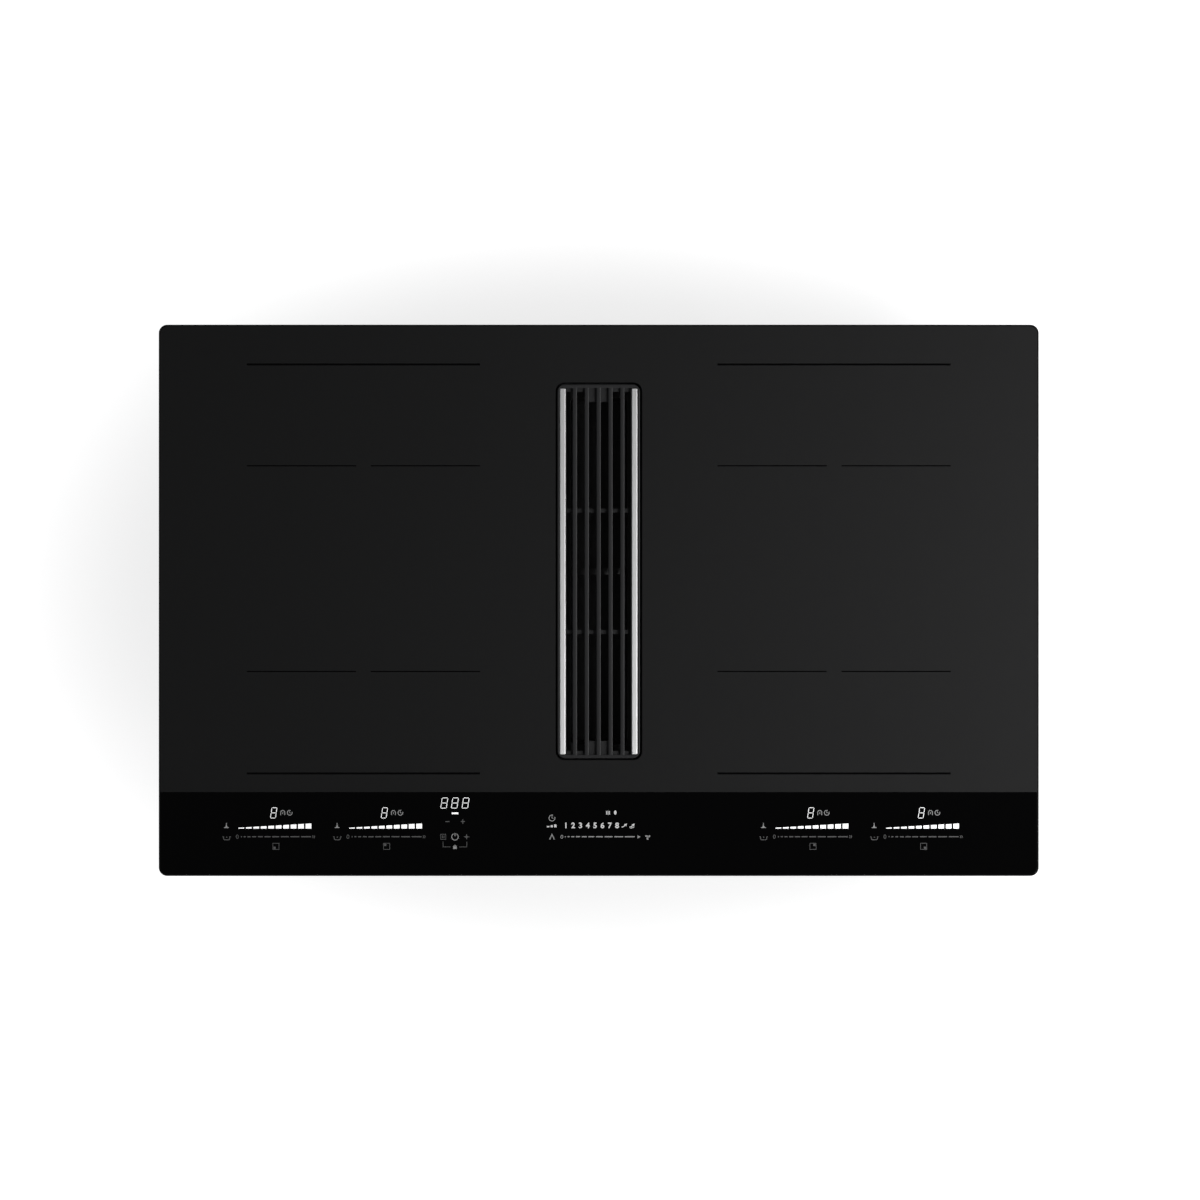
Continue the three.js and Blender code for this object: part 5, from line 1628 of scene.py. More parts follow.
def offset_outline(points, inset):
    """An outline moved inwards everywhere by the same width, without the folds that narrow places give."""
    stride, least_gap = 4 * MM, 1.5 * MM
    sides = list(zip(points, points[1:] + points[:1]))
    turn = 1 if sum(start.x * end.y - end.x * start.y for start, end in sides) > 0 else -1

    def clearance(spot):
        gaps = []
        for start, end in sides:
            share = (spot - start).dot(end - start) / max((end - start).length_squared, 1e-12)
            gaps.append((start.lerp(end, max(0.0, min(1.0, share))) - spot).length)
        return min(gaps)

    kept = []
    for start, end in sides:
        run = end - start
        if run.length < 1e-6:
            continue
        inwards = turn * Vector((-run.y, run.x)).normalized() * inset
        count = max(1, int(run.length / stride))
        for i in range(count):
            moved = start.lerp(end, (i + 0.5) / count) + inwards
            apart = not kept or min((moved - kept[0]).length, (moved - kept[-1]).length) > least_gap
            if apart and clearance(moved) > inset * 0.995:
                kept.append(moved)
    return [tuple(spot) for spot in kept]


class COOKTOP_OT_eased_pieces(Operator):
    """Sheet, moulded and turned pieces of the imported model, with their sharp edges eased"""

    bl_idname = "cooktop.eased_pieces"
    bl_label = "Eased pieces"

    def execute(self, context):
        for node, (name, width) in EASED.items():
            made = keep_rounded(node, name, width, finish=OWN_FINISHES.get(node))
            if node == "blower_base":
                self.sink_underside(made)
        return {"FINISHED"}

    @staticmethod
    def sink_underside(made):
        """Sink the middle of the lowest face, so that the housing stands on a rim."""
        rim_width, draft, depth = 7 * MM, 0.5 * MM, 1.4 * MM
        mesh = bmesh.new()
        mesh.from_mesh(made)
        under = max((face for face in mesh.faces if face.normal.z < -0.99), key=lambda face: face.calc_area())
        low = under.calc_center_median().z
        border = list(under.edges)
        outline = [corner.co.to_2d() for corner in under.verts]
        bmesh.ops.delete(mesh, geom=[under], context="FACES_ONLY")
        rim = add_ring(mesh, offset_outline(outline, rim_width), low)
        floor = add_ring(mesh, offset_outline(outline, rim_width + draft), low + depth)
        bmesh.ops.bridge_loops(mesh, edges=[*closed_ring(mesh, rim), *closed_ring(mesh, floor)])
        mesh.faces.new(floor)
        bmesh.ops.triangle_fill(mesh, edges=[*border, *ring_edges(mesh, rim)])
        bmesh.ops.recalc_face_normals(mesh, faces=mesh.faces)
        mesh.to_mesh(made)
        mesh.free()
        smooth(made)
        keep_level_faces_flat(made)


# ---- Seals, felts and rubber ----

def box_mm(node):
    """Left, right, front, rear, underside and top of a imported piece, in millimetres."""
    low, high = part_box(node)
    return [value / MM for pair in zip(low, high) for value in pair]


# Outlines of the seals, from the inner to the outer side and from the underside to the top, both 0 to 1
FOAM_PROFILE = (
    (0, 0.15), (0.3, 0), (0.97, 0), (1, 0.3), (1.0, 0.7), (0.95, 1), (0.55, 0.93), (0.3, 1), (0.04, 1),
)
BEAD_PROFILE = ((0.02, 0), (0.95, 0), (1, 0.25), (0.93, 0.75), (0.97, 1), (0.05, 1), (0, 0.7))
LIPS_PROFILE = (
    (0, 0), (1, 0), (1, 0.35), (0.78, 0.4), (0.7, 1), (0.55, 1), (0.48, 0.4), (0.32, 0.4), (0.25, 1),
    (0.1, 1), (0.04, 0.4), (0, 0.35),
)


class COOKTOP_OT_seals(Operator):
    """Foam, silicone, rubber and felt pieces with their own soft outlines"""

    bl_idname = "cooktop.seals"
    bl_label = "Seals and felts"

    def execute(self, context):
        self.strip("worktop_seal", "foam_strip", 10.0, FOAM_PROFILE)
        self.strip("glass_bond", "silicone_bead", 6.0, BEAD_PROFILE)
        self.strip("intake_gasket", "lip_gasket", 5.5, LIPS_PROFILE, corner=10.0)
        self.outlet_band()
        for side in SIDES:
            keep_rounded(f"insulation_{side}", f"felt_{side}", 0.6, 3)
        keep_rounded("motor_mount", "rubber_mount", 0.7, 3)
        return {"FINISHED"}

    def strip(self, node, name, width, profile, corner=8.0):
        """A strip of even width round a rounded rectangle."""
        left, right, front, rear, low, top = box_mm(node)
        mesh = bmesh.new()
        shape = [((share - 1) * width, low + lift * (top - low)) for share, lift in profile]
        loop_band(mesh, shape, right - left, rear - front, corner, ((left + right) / 2, (front + rear) / 2))
        slot = SLOTS[node]
        made = finish_mesh(mesh, name, 50)
        keep_piece(name, made, body_under(node), (SLOT_FINISHES[slot](),), (node,))

    def outlet_band(self):
        """A band round the duct, drawn lying down: its height is the way to the front."""
        left, right, front, rear, low, top = box_mm("outlet_seal")
        crown = [(-2.7, -front), (-0.4, -front), (0, -front - 1.2), (-0.1, -(front + rear) / 2),
                 (0, 1.2 - rear), (-0.4, -rear), (-2.7, -rear)]
        mesh = bmesh.new()
        loop_band(mesh, crown, right - left, top - low, 13.0, (0.0, (low + top) / 2))
        made = quarter_turned(finish_mesh(mesh, "outlet_foam", 50), "X")
        keep_piece("outlet_foam", made, "hob", (SLOT_FINISHES["foam"](),), ("outlet_seal",))


# ---- Casing, clips and what is fastened to them ----

def zinc_screw():
    return drawn_metal("zinc_screw", (0.5, 0.5, 0.48), 0.38, (400.0, 400.0, 400.0), 0.3)


def keep_screws(name, radius, height, places, metal=None):
    """Screws of one size, each with its head turned by chance."""
    made = copies(screw_head(radius, height), places, metal or zinc_screw(), name, spin=tau)
    keep_piece(name, made, "hob", ())


def clear_below(x, y, margin=5.0):
    """True where nothing hangs under the casing, so that a screw head there has room."""
    for node in ("intake_hood", "terminal_box", "blower_control_box"):
        left, right, front, rear = box_mm(node)[:4]
        if left - margin < x < right + margin and front - margin < y < rear + margin:
            return False
    return True


class COOKTOP_OT_casing_details(Operator):
    """Pressed beads, louvre hoods and screws of the casing, and the screws of its clips"""

    bl_idname = "cooktop.casing_details"
    bl_label = "Casing details"

    def execute(self, context):
        sizes = settings().casing
        box = box_mm("casing_tray")
        flange = sizes.flange / MM
        wall_x, wall_y, low = box[1] - flange, box[3] - flange, box[4]
        bead_row, hood_row = low + 28, low + 26
        zinc = galvanised()
        parts = [*self.wall_beads(wall_x, wall_y, bead_row, zinc), self.hoods(wall_y, hood_row, zinc),
                 self.floor_beads(low, zinc)]
        keep_joined("casing_pressings", parts, "hob")
        self.screws(wall_x, wall_y, low)
        self.clip_screws()
        return {"FINISHED"}

    def wall_beads(self, wall_x, wall_y, z, zinc):
        """Stiffening beads along the four walls, by the middle and the length of each."""
        rear = ((-300, 120), (-150, 120), (0, 120), (150, 120), (300, 120))
        front = ((-315, 110), (0, 200), (315, 110))
        sides = ((-200, 50), (0, 220), (200, 50))
        beads = [(long, facing("rear", [(x, wall_y, z)])) for x, long in rear]
        beads += [(long, facing("front", [(x, -wall_y, z)])) for x, long in front]
        for y, long in sides:
            beads.append((long, facing("right", [(wall_x, y, z)]) + facing("left", [(-wall_x, y, z)])))
        return [copies(pressed_bead(long, 14, 1.4), places, zinc, "bead") for long, places in beads]

    def hoods(self, wall_y, z, zinc):
        """A hood over each cooling slot of the front wall, open to the middle of the cooktop."""
        sizes = settings().casing
        hood = quarter_turned(louvre_hood(26, 9, 3.4), "Z", way=-1)
        places = []
        for side in (-1, 1):
            for i in range(sizes.vents):
                x = side * sizes.vent_middle / MM + (i - (sizes.vents - 1) / 2) * sizes.vent_pitch / MM
                places.append((x, -wall_y, z))
        return copies(hood, facing("front", places), zinc, "hood")

    def floor_beads(self, low, zinc):
        """Stiffening beads under the floor, beside the boxes."""
        places = [(x, -110, low) for x in (-350, -290, -225, 170, 225, 290, 350)]
        bead = quarter_turned(pressed_bead(150, 10, 1.2), "Z")
        return copies(bead, facing("down", places), zinc, "floor_bead")

    def screws(self, wall_x, wall_y, low):
        """Screws under the floor where nothing is in their way, then along the walls."""
        z = low + 44
        under = [(x, y) for x in (-317, -290, -178, 178, 290, 317) for y in (-150, -132, 132, 215)]
        under += [(x, y) for x in (340, 380) for y in (-134, 134)]
        places = facing("down", [(x, y, low) for x, y in under if clear_below(x, y)])
        for y in (-220, -75, 75, 220):
            places += facing("right", [(wall_x, y, z)]) + facing("left", [(-wall_x, y, z)])
        for x in (-380, -230, -75, 75, 230, 380):
            places += facing("rear", [(x, wall_y, z)]) + facing("front", [(x, -wall_y, z)])
        keep_screws("casing_screws", 3.2, 2.0, places)

    def clip_screws(self):
        """Two screws through the foot of each fixing clip."""
        places = []
        for corner in CORNERS:
            left, right, front, rear, low, _ = box_mm(f"fixing_clip_{corner}")
            y, z = (front + rear) / 2, low + 4
            way, x = ("right", left + 0.8) if left > 0 else ("left", right - 0.8)
            places += facing(way, [(x, y - 8, z), (x, y + 8, z)])
        keep_screws("clip_screws", 2.6, 1.7, places)


# ---- Blower housing, plenum and duct ----

def spiral_point(sizes, angle, step):
    """A point outside the scroll's wall, at an angle round the blower's axis, and the way it faces."""
    rate = log(sizes.scroll_end / sizes.scroll_start) / (tau - sizes.tongue_angle)
    radius = sizes.scroll_start * exp(rate * (angle - sizes.tongue_angle)) + step * MM
    place = ((sizes.axis_x + radius * cos(angle)) / MM, (sizes.axis_y + radius * sin(angle)) / MM)
    return place, angle - atan(rate)


def blower_axis():
    """Place of the blower's axis in millimetres."""
    sizes = settings().blower
    return sizes.axis_x / MM, sizes.axis_y / MM


class COOKTOP_OT_housing_details(Operator):
    """Ribs, bosses and screws of the blower housing, the plenum and the duct spigot"""

    bl_idname = "cooktop.housing_details"
    bl_label = "Housing details"

    def execute(self, context):
        sizes = settings().blower
        black = SLOT_FINISHES["black_plastic"]()
        parts = [self.scroll_ribs(sizes, black), self.plenum_ribs(black), self.bosses(black)]
        keep_joined("housing_ribs", parts, "hob")
        self.motor_bay(sizes, black)
        self.underside(black)
        self.screws()
        self.duct_band(sizes, black)
        return {"FINISHED"}

    def scroll_ribs(self, sizes, black):
        """Upright ribs at even angles round the scroll, then along its straight side."""
        low, top = box_mm("blower_base")[4:]
        rib = quarter_turned(moulded_rib(top - low - 9, 1.6, 3.0), "Z", "X", "Z")
        wall, z = sizes.wall / MM, (low + top) / 2 - 1.5
        places = []
        for degrees in range(100, 356, 15):
            (x, y), way = spiral_point(sizes, radians(degrees), wall)
            places.append(((x, y, z), (0, 0, way)))
        straight = (sizes.axis_x + sizes.scroll_end) / MM + wall
        places += [((straight, y, z), (0, 0, 0)) for y in range(-40, 231, 30)]
        return copies(rib, places, black, "scroll_ribs")

    def plenum_ribs(self, black):
        front, rear, low, top = box_mm("intake_hood")[2:]
        rib = quarter_turned(moulded_rib(top - low - 14, 2.4, 4.0), "Z")
        flange, z = 8, (low + top) / 2 - 2
        places = []
        for x in range(-150, 110, 40):
            places += facing("front", [(x, front + flange, z)]) + facing("rear", [(x, rear - flange, z)])
        return copies(rib, places, black, "plenum_ribs")

    def flange_places(self):
        """Places along the flange that the housing, its cover and the plenum share."""
        inset = 4.0
        left, right, front, rear = box_mm("intake_hood")[:4]
        places = []
        for y in (-143, -73, -3, 67, 137, 192):
            places += [(left + inset, y), (right - inset, y)]
        for x in (-130, -50, 30, 90):
            places += [(x, front + inset), (x, rear - inset)]
        return places

    def bosses(self, black):
        """Round screw bosses under the housing's flange. There are none over the open duct."""
        top = box_mm("blower_base")[5]
        boss = lathe("boss", [(0, -12), (2.6, -12), (3.0, -11.4), (3.4, 0), (0, 0)], 14)
        duct_left, duct_right = box_mm("outlet_spigot")[:2]
        rear = box_mm("intake_hood")[3]
        places = []
        for x, y in self.flange_places():
            over_duct = duct_left < x < duct_right and y > rear - 5
            if not over_duct:
                places.append((x, y, top - 2.4))
        return copies(boss, facing("up", places), black, "bosses")

    def spokes(self, long, thick, high, middle, z, count, turn, black):
        """Radial ribs round the blower's axis, with their middle at one radius."""
        rib = moulded_rib(long, thick, high)
        rib.transform(Matrix.Translation((middle * MM, 0, 0)))
        places = [((*blower_axis(), z), (turn, 0, tau * i / count)) for i in range(count)]
        return copies(rib, places, black, "spokes")

    def motor_bay(self, sizes, black):
        """Radial ribs and a ring inside the scroll's floor, round the motor's mount."""
        floor = box_mm("blower_base")[4] + sizes.wall / MM
        ring = lathe("floor_ring", [
            (66, floor - 0.5), (68, floor - 0.5), (67.8, floor + 4), (66.2, floor + 4), (66, floor - 0.5),
        ], 60, black, blower_axis())
        spokes = self.spokes(26, 1.6, 4.0, 82, floor, 12, 0, black)
        keep_joined("motor_bay", [ring, spokes], "hob")

    def underside(self, black):
        """Rings, radial ribs and the mount's screws in the sunk middle of the housing's underside."""
        low = box_mm("blower_base")[4]
        under, over, root = low + 0.15, low + 1.6, low + 1.4
        parts = [lathe("under_ring", [
            (radius, under), (radius + 2, under), (radius + 2, over), (radius, over), (radius, under),
        ], 90, black, blower_axis()) for radius in (18, 66, 94)]
        parts.append(self.spokes(26, 1.8, 1.25, 81, root, 24, pi, black))
        keep_joined("underside_ribs", parts, "hob")
        x, y = blower_axis()
        reach = 56
        feet = [pi / 2 + tau * i / 3 for i in range(3)]
        places = facing("down", [(x + reach * cos(foot), y + reach * sin(foot), root) for foot in feet])
        keep_screws("mount_screws", 3.4, 1.2, places)

    def screws(self):
        """Screws down through the shared flange and along both sides of the spigot's collar."""
        top = box_mm("intake_hood")[4] + 2.7
        places = facing("up", [(x, y, top) for x, y in self.flange_places()])
        _, _, front, _, low, high = box_mm("outlet_spigot")
        for x in (-114.6, 114.6):
            places += facing("rear", [(x, front + 2.5, z) for z in (low + 10, (low + high) / 2, high - 10)])
        keep_screws("housing_screws", 2.7, 1.9, places)

    def duct_band(self, sizes, black):
        """A raised stop round the duct spigot that keeps its foam in place."""
        rear, low, top = box_mm("outlet_seal")[3:]
        mesh = bmesh.new()
        shape = [(-0.4, -rear - 0.6), (1.2, -rear - 0.9), (1.2, -rear - 1.8), (-0.4, -rear - 3.6)]
        loop_band(mesh, shape, sizes.duct_width / MM, sizes.duct_height / MM, 10.0, (0.0, (low + top) / 2))
        made = quarter_turned(finish_mesh(mesh, "duct_stop", 30), "X")
        keep_piece("duct_stop", made, "hob", (black,))


class COOKTOP_OT_blower_wheel(Operator):
    """Cage of forward-curved blades between two hoops"""

    bl_idname = "cooktop.blower_wheel"
    bl_label = "Blower wheel"

    def execute(self, context):
        sizes = settings().blower
        low, top = box_mm("impeller")[4:]
        grey = SLOT_FINISHES["grey_plastic"]()
        axis = blower_axis()
        inner, outer = sizes.wheel_inner / MM, sizes.wheel_outer / MM
        hoop, ease = 2, 0.5
        parts = []
        for under, over in ((low, low + hoop), (top - hoop, top)):
            parts.append(lathe("hoop", [
                (inner + ease, under), (outer - ease, under), (outer, under + ease), (outer, over - ease),
                (outer - ease, over), (inner + ease, over), (inner, over - ease), (inner, under + ease),
                (inner + ease, under)], 72, grey, axis))
        blade = self.blade(inner + 0.5, outer - 0.7, low + 1, top - 1)
        places = [((*axis, 0.0), (0, 0, tau * i / sizes.blades)) for i in range(sizes.blades)]
        parts.append(copies(blade, places, grey, "blades"))
        keep_joined("wheel_cage", parts, "impeller", ("impeller",))
        self.balance_clip(axis, outer, top)
        return {"FINISHED"}

    def blade(self, inner, outer, low, top, steps=7):
        """One blade, thickest in its middle, that leans further forward towards its tip."""
        front, back = [], []
        for i in range(steps + 1):
            share = i / steps
            radius = inner + (outer - inner) * share
            angle = 0.15 * share * share
            half = (0.35 + 0.4 * sin(pi * (0.12 + 0.76 * share))) / radius
            for side, way in ((front, angle + half), (back, angle - half)):
                side.append((radius * cos(way) * MM, radius * sin(way) * MM))
        mesh = bmesh.new()
        add_slab(mesh, back + front[::-1], low * MM, top * MM)
        return finish_mesh(mesh, "blade", 50)

    def balance_clip(self, axis, outer, top):
        """A small spring clip pushed over the upper hoop, where the wheel was balanced."""
        left, right, foot, crown = outer - 15.3, outer + 0.25, top - 5, top + 0.3
        path = ((right, foot), (right, crown), (left, crown), (left, foot))
        mesh = bmesh.new()
        add_stroke(mesh, [(x * MM, y * MM) for x, y in path], 0.4 * MM, -3 * MM, 3 * MM)
        made = quarter_turned(finish_mesh(mesh, "balance_clip", 40), "X")
        made.transform(Matrix.Rotation(radians(200), 4, "Z"))
        made.transform(Matrix.Translation((axis[0] * MM, axis[1] * MM, 0)))
        keep_piece("balance_clip", made, "impeller", (SLOT_FINISHES["stainless"](),))


# ---- Filter and drip tray ----

def expanded_metal_tree():
    """Zigzag strands that meet at their bends, in a flat sheet in Y and Z from the origin."""
    inputs = (
        ("Bends", INTEGER, 102), ("Pitch", FLOAT, 0.003), ("Row pairs", INTEGER, 10), ("Row", FLOAT, 0.0022),
        ("Wide", FLOAT, 0.0007), ("Thick", FLOAT, 0.0005),
    )

    def build(tree, entry):
        profile = add_node(tree, "GeometryNodeCurvePrimitiveQuadrilateral", {
            "Width": entry["Thick"], "Height": entry["Wide"]}).outputs["Curve"]
        pair = add_node(tree, "GeometryNodeJoinGeometry")
        for phase in (0.0, 1.0):
            index = node_index(tree)
            odd = maths(tree, "MODULO", plus(tree, index, phase), 2.0)
            swing = times(tree, minus(tree, odd, 0.5), entry["Row"])
            level = maths(tree, "MULTIPLY_ADD", entry["Row"], phase, swing)
            along = times(tree, index, entry["Pitch"])
            bent = points_at(tree, entry["Bends"], combine(tree, 0.0, along, level))
            curve = add_node(tree, "GeometryNodeMeshToCurve", {"Mesh": bent}).outputs["Curve"]
            feed(tree, pair, {"Geometry": add_node(tree, "GeometryNodeCurveToMesh", {
                "Curve": curve, "Profile Curve": profile, "Fill Caps": True}).outputs["Mesh"]})
        height = times(tree, times(tree, node_index(tree), 2.0), entry["Row"])
        points = points_at(tree, entry["Row pairs"], combine(tree, 0.0, 0.0, height))
        return copy_to(tree, points, pair.outputs["Geometry"])

    return geometry_tree("Expanded metal", inputs, build)


class COOKTOP_OT_filter_meshes(Operator):
    """Expanded aluminium sheets in folded frames, and the pressed floor of the drip tray"""

    bl_idname = "cooktop.filter_meshes"
    bl_label = "Filter meshes and drip tray"

    def execute(self, context):
        tree = expanded_metal_tree()
        for side, sign in (("left", -1), ("right", 1)):
            self.sheet(tree, side, sign)
        left, right, front, _, low, _ = box_mm("drip_tray")
        floor, first, pitch = low + 1.2, 42, 48
        places = facing("up", [((left + right) / 2, front + first + pitch * i, floor) for i in range(6)])
        made = copies(pressed_bead(34, 7, 1.0), places, SLOT_FINISHES["stainless"](), "tray_beads")
        keep_piece("tray_beads", made, "drip_tray", ())
        return {"FINISHED"}

    def sheet(self, tree, side, sign):
        """A net and its folded border, drawn upright and then leaned outwards."""
        sizes = settings().filter
        name, node = f"filter_net_{side}", f"filter_mesh_{side}"
        left, right, front, rear, low, top = box_mm(node)
        half, border_width = sizes.sheet / MM / 2, 2.2
        deep, rise, lean = rear - front, top - low, right - left - 2 * half
        pitch, row = sizes.pitch / MM, sizes.row / MM
        # The aluminium is painted near black: painted shade for the dark deep under the grille's slots, as
        # real expanded aluminium is bright.
        metal = drawn_metal("filter_aluminium", (0.09, 0.09, 0.095), 0.45, (1500.0, 25.0, 1500.0))
        margin_y, margin_z = 4, 3
        bends = int((deep - margin_y) / pitch) + 1
        pairs = int((rise - margin_z) / (2 * row))
        net = grown(tree, {
            "Bends": bends, "Pitch": sizes.pitch, "Row pairs": pairs, "Row": sizes.row,
            "Wide": 0.75 * MM, "Thick": 0.5 * MM, "Material": metal}, "net")
        spare_y = (deep - (bends - 1) * pitch) / 2
        spare_z = (rise - (2 * pairs - 1) * row) / 2
        net.transform(Matrix.Translation((0, spare_y * MM, spare_z * MM)))
        edge = bmesh.new()
        far_y, far_z = deep - border_width, rise - border_width
        bars = ((0, deep, 0, border_width), (0, deep, far_z, rise), (0, border_width, border_width, far_z),
                (far_y, deep, border_width, far_z))
        for y0, y1, z0, z1 in bars:
            add_block(edge, (-half * MM, y0 * MM, z0 * MM), (half * MM, y1 * MM, z1 * MM))
        border = rounded(finish_mesh(edge, "border"), 0.2 * MM)
        border.materials.append(metal)
        made, materials = joined_meshes([net, border], name)
        slope = Matrix.Identity(4)
        slope[0][2] = sign * lean / rise
        slope.translation = (sign * (min(abs(left), abs(right)) + half) * MM, front * MM, low * MM)
        made.transform(slope)
        keep_piece(name, made, "grease_filter", materials, (node,))


# ---- Coils ----

def rope_tree():
    """A twisted rope of strands along each line of the starting mesh."""
    inputs = (
        ("Points", GEOMETRY, None), ("Radius", FLOAT, 0.0014), ("Strands", INTEGER, 5),
        ("Step", FLOAT, 0.002), ("Twist pitch", FLOAT, 0.04),
    )

    def build(tree, entry):
        line = add_node(tree, "GeometryNodeMeshToCurve", {"Mesh": entry["Points"]}).outputs["Curve"]
        even = add_node(tree, "GeometryNodeResampleCurve", {
            "Curve": line, "Length": entry["Step"]}, mode="LENGTH").outputs["Curve"]
        run = add_node(tree, "GeometryNodeSplineParameter").outputs["Length"]
        turn = maths(tree, "DIVIDE", times(tree, run, tau), entry["Twist pitch"])
        level = add_node(tree, "GeometryNodeSetCurveNormal", {"Curve": even}, mode="Z_UP").outputs["Curve"]
        twisted = add_node(tree, "GeometryNodeSetCurveTilt", {"Curve": level, "Tilt": turn}).outputs["Curve"]
        circle = add_node(tree, "GeometryNodeCurvePrimitiveCircle", {
            "Resolution": times(tree, entry["Strands"], 2.0), "Radius": entry["Radius"]}).outputs["Curve"]
        valley = times(tree, maths(tree, "MODULO", node_index(tree), 2.0), -0.2)
        spot = add_node(tree, "GeometryNodeInputPosition").outputs["Position"]
        drawn_in = add_node(tree, "ShaderNodeVectorMath", {0: spot, "Scale": valley}, operation="SCALE")
        lobed = add_node(tree, "GeometryNodeSetPosition", {
            "Geometry": circle, "Offset": drawn_in.outputs[0]}).outputs["Geometry"]
        return add_node(tree, "GeometryNodeCurveToMesh", {
            "Curve": twisted, "Profile Curve": lobed, "Fill Caps": True}).outputs["Mesh"]

    return geometry_tree("Twisted rope", inputs, build)


def winding_line(sizes, across, steps=6):
    """Places along one oval turn after another, from the inside out, beside the winding's middle line."""
    growth = sizes.turns * sizes.turn_pitch
    radius = sizes.half_depth - growth - 5 * MM
    middle_x, middle_y = sizes.half_width - growth - radius, sizes.half_depth - growth - radius
    points = []
    for corner in range(4 * sizes.turns):
        x = middle_x if corner % 4 in (0, 3) else -middle_x
        y = middle_y if corner % 4 < 2 else -middle_y
        for step in range(steps + 1):
            share = (corner + step / steps) / 4
            reach = radius + share * sizes.turn_pitch + across
            points.append((x + reach * cos(tau * share), y + reach * sin(tau * share)))
    return points


class COOKTOP_OT_coils(Operator):
    """Windings of twisted litz rope, carriers with ferrite bars, and sensor pads"""

    bl_idname = "cooktop.coils"
    bl_label = "Coils"

    def execute(self, context):
        tree = rope_tree()
        copper = SLOT_FINISHES["copper"]()
        ferrite = soft("ferrite", (0.03, 0.029, 0.028), 0.55, 700.0, 0.3)
        for corner in CORNERS:
            self.winding(tree, corner, copper)
            self.carrier(corner, ferrite)
            keep_rounded(f"coil_sensor_{corner}", f"sensor_pad_{corner}", 0.4, 3)
        return {"FINISHED"}

    def winding(self, tree, corner, copper):
        sizes = settings().coils
        name, node = f"litz_winding_{corner}", f"coil_winding_{corner}"
        left, right, front, rear = box_mm(f"coil_carrier_{corner}")[:4]
        middle_x, middle_y = (left + right) / 2 * MM, (front + rear) / 2 * MM
        low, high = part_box(node)
        height = (low.z + high.z) / 2
        ropes = []
        for i in range(sizes.ropes):
            across = (i - (sizes.ropes - 1) / 2) * sizes.rope_gap - sizes.wire / 2
            line = [(middle_x + x, middle_y + y, height) for x, y in winding_line(sizes, across)]
            start = bpy.data.meshes.new("rope")
            start.from_pydata(line, [(k, k + 1) for k in range(len(line) - 1)], [])
            ropes.append(grown(tree, {
                "Radius": sizes.rope_radius, "Strands": 5, "Step": 2.2 * MM, "Twist pitch": 40 * MM,
                "Material": copper}, "rope", start))
        made, materials = joined_meshes(ropes, name)
        smooth(made, 60)
        keep_piece(name, made, "hob", materials, (node,))

    def carrier(self, corner, ferrite):
        """The plate keeps its bright finish and the bars under it are ferrite."""
        name, node = f"coil_plate_{corner}", f"coil_carrier_{corner}"
        made = rounded(packed_mesh(node, name), 0.25 * MM)
        ferrite_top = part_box(node)[0].z + settings().coils.ferrite_height
        for face in made.polygons:
            face.material_index = 1 if face.center.z < ferrite_top - 0.05 * MM else 0
        keep_piece(name, made, "hob", (SLOT_FINISHES["aluminium"](), ferrite), (node,))


# ---- Boards ----

def scatter_tree():
    """Small flat parts at chance places on a board, in rows that keep to a grid."""
    inputs = (
        ("Columns", INTEGER, 20), ("Rows", INTEGER, 20), ("Pitch", FLOAT, 0.008), ("Share", FLOAT, 0.4),
        ("Seed", INTEGER, 4), ("Long", FLOAT, 0.0032), ("Wide", FLOAT, 0.0016), ("High", FLOAT, 0.0009),
    )

    def build(tree, entry):
        def span(label):
            return times(tree, minus(tree, entry[label], 1.0), entry["Pitch"])

        def chance(seed):
            return add_node(tree, "FunctionNodeRandomValue", {"Seed": seed}, data_type="FLOAT").outputs[1]

        grid = add_node(tree, "GeometryNodeMeshGrid", {
            "Size X": span("Columns"), "Size Y": span("Rows"), "Vertices X": entry["Columns"],
            "Vertices Y": entry["Rows"]}).outputs["Mesh"]
        kept = maths(tree, "LESS_THAN", chance(entry["Seed"]), entry["Share"])
        part = add_node(tree, "GeometryNodeMeshCube", {
            "Size": combine(tree, entry["Long"], entry["Wide"], entry["High"])}).outputs["Mesh"]
        spin = chance(plus(tree, entry["Seed"], 1.0))
        quarter = times(tree, maths(tree, "ROUND", spin), pi / 2)
        return copy_to(tree, grid, part, Selection=kept, Rotation=combine(tree, 0.0, 0.0, quarter))

    return geometry_tree("Small parts", inputs, build)


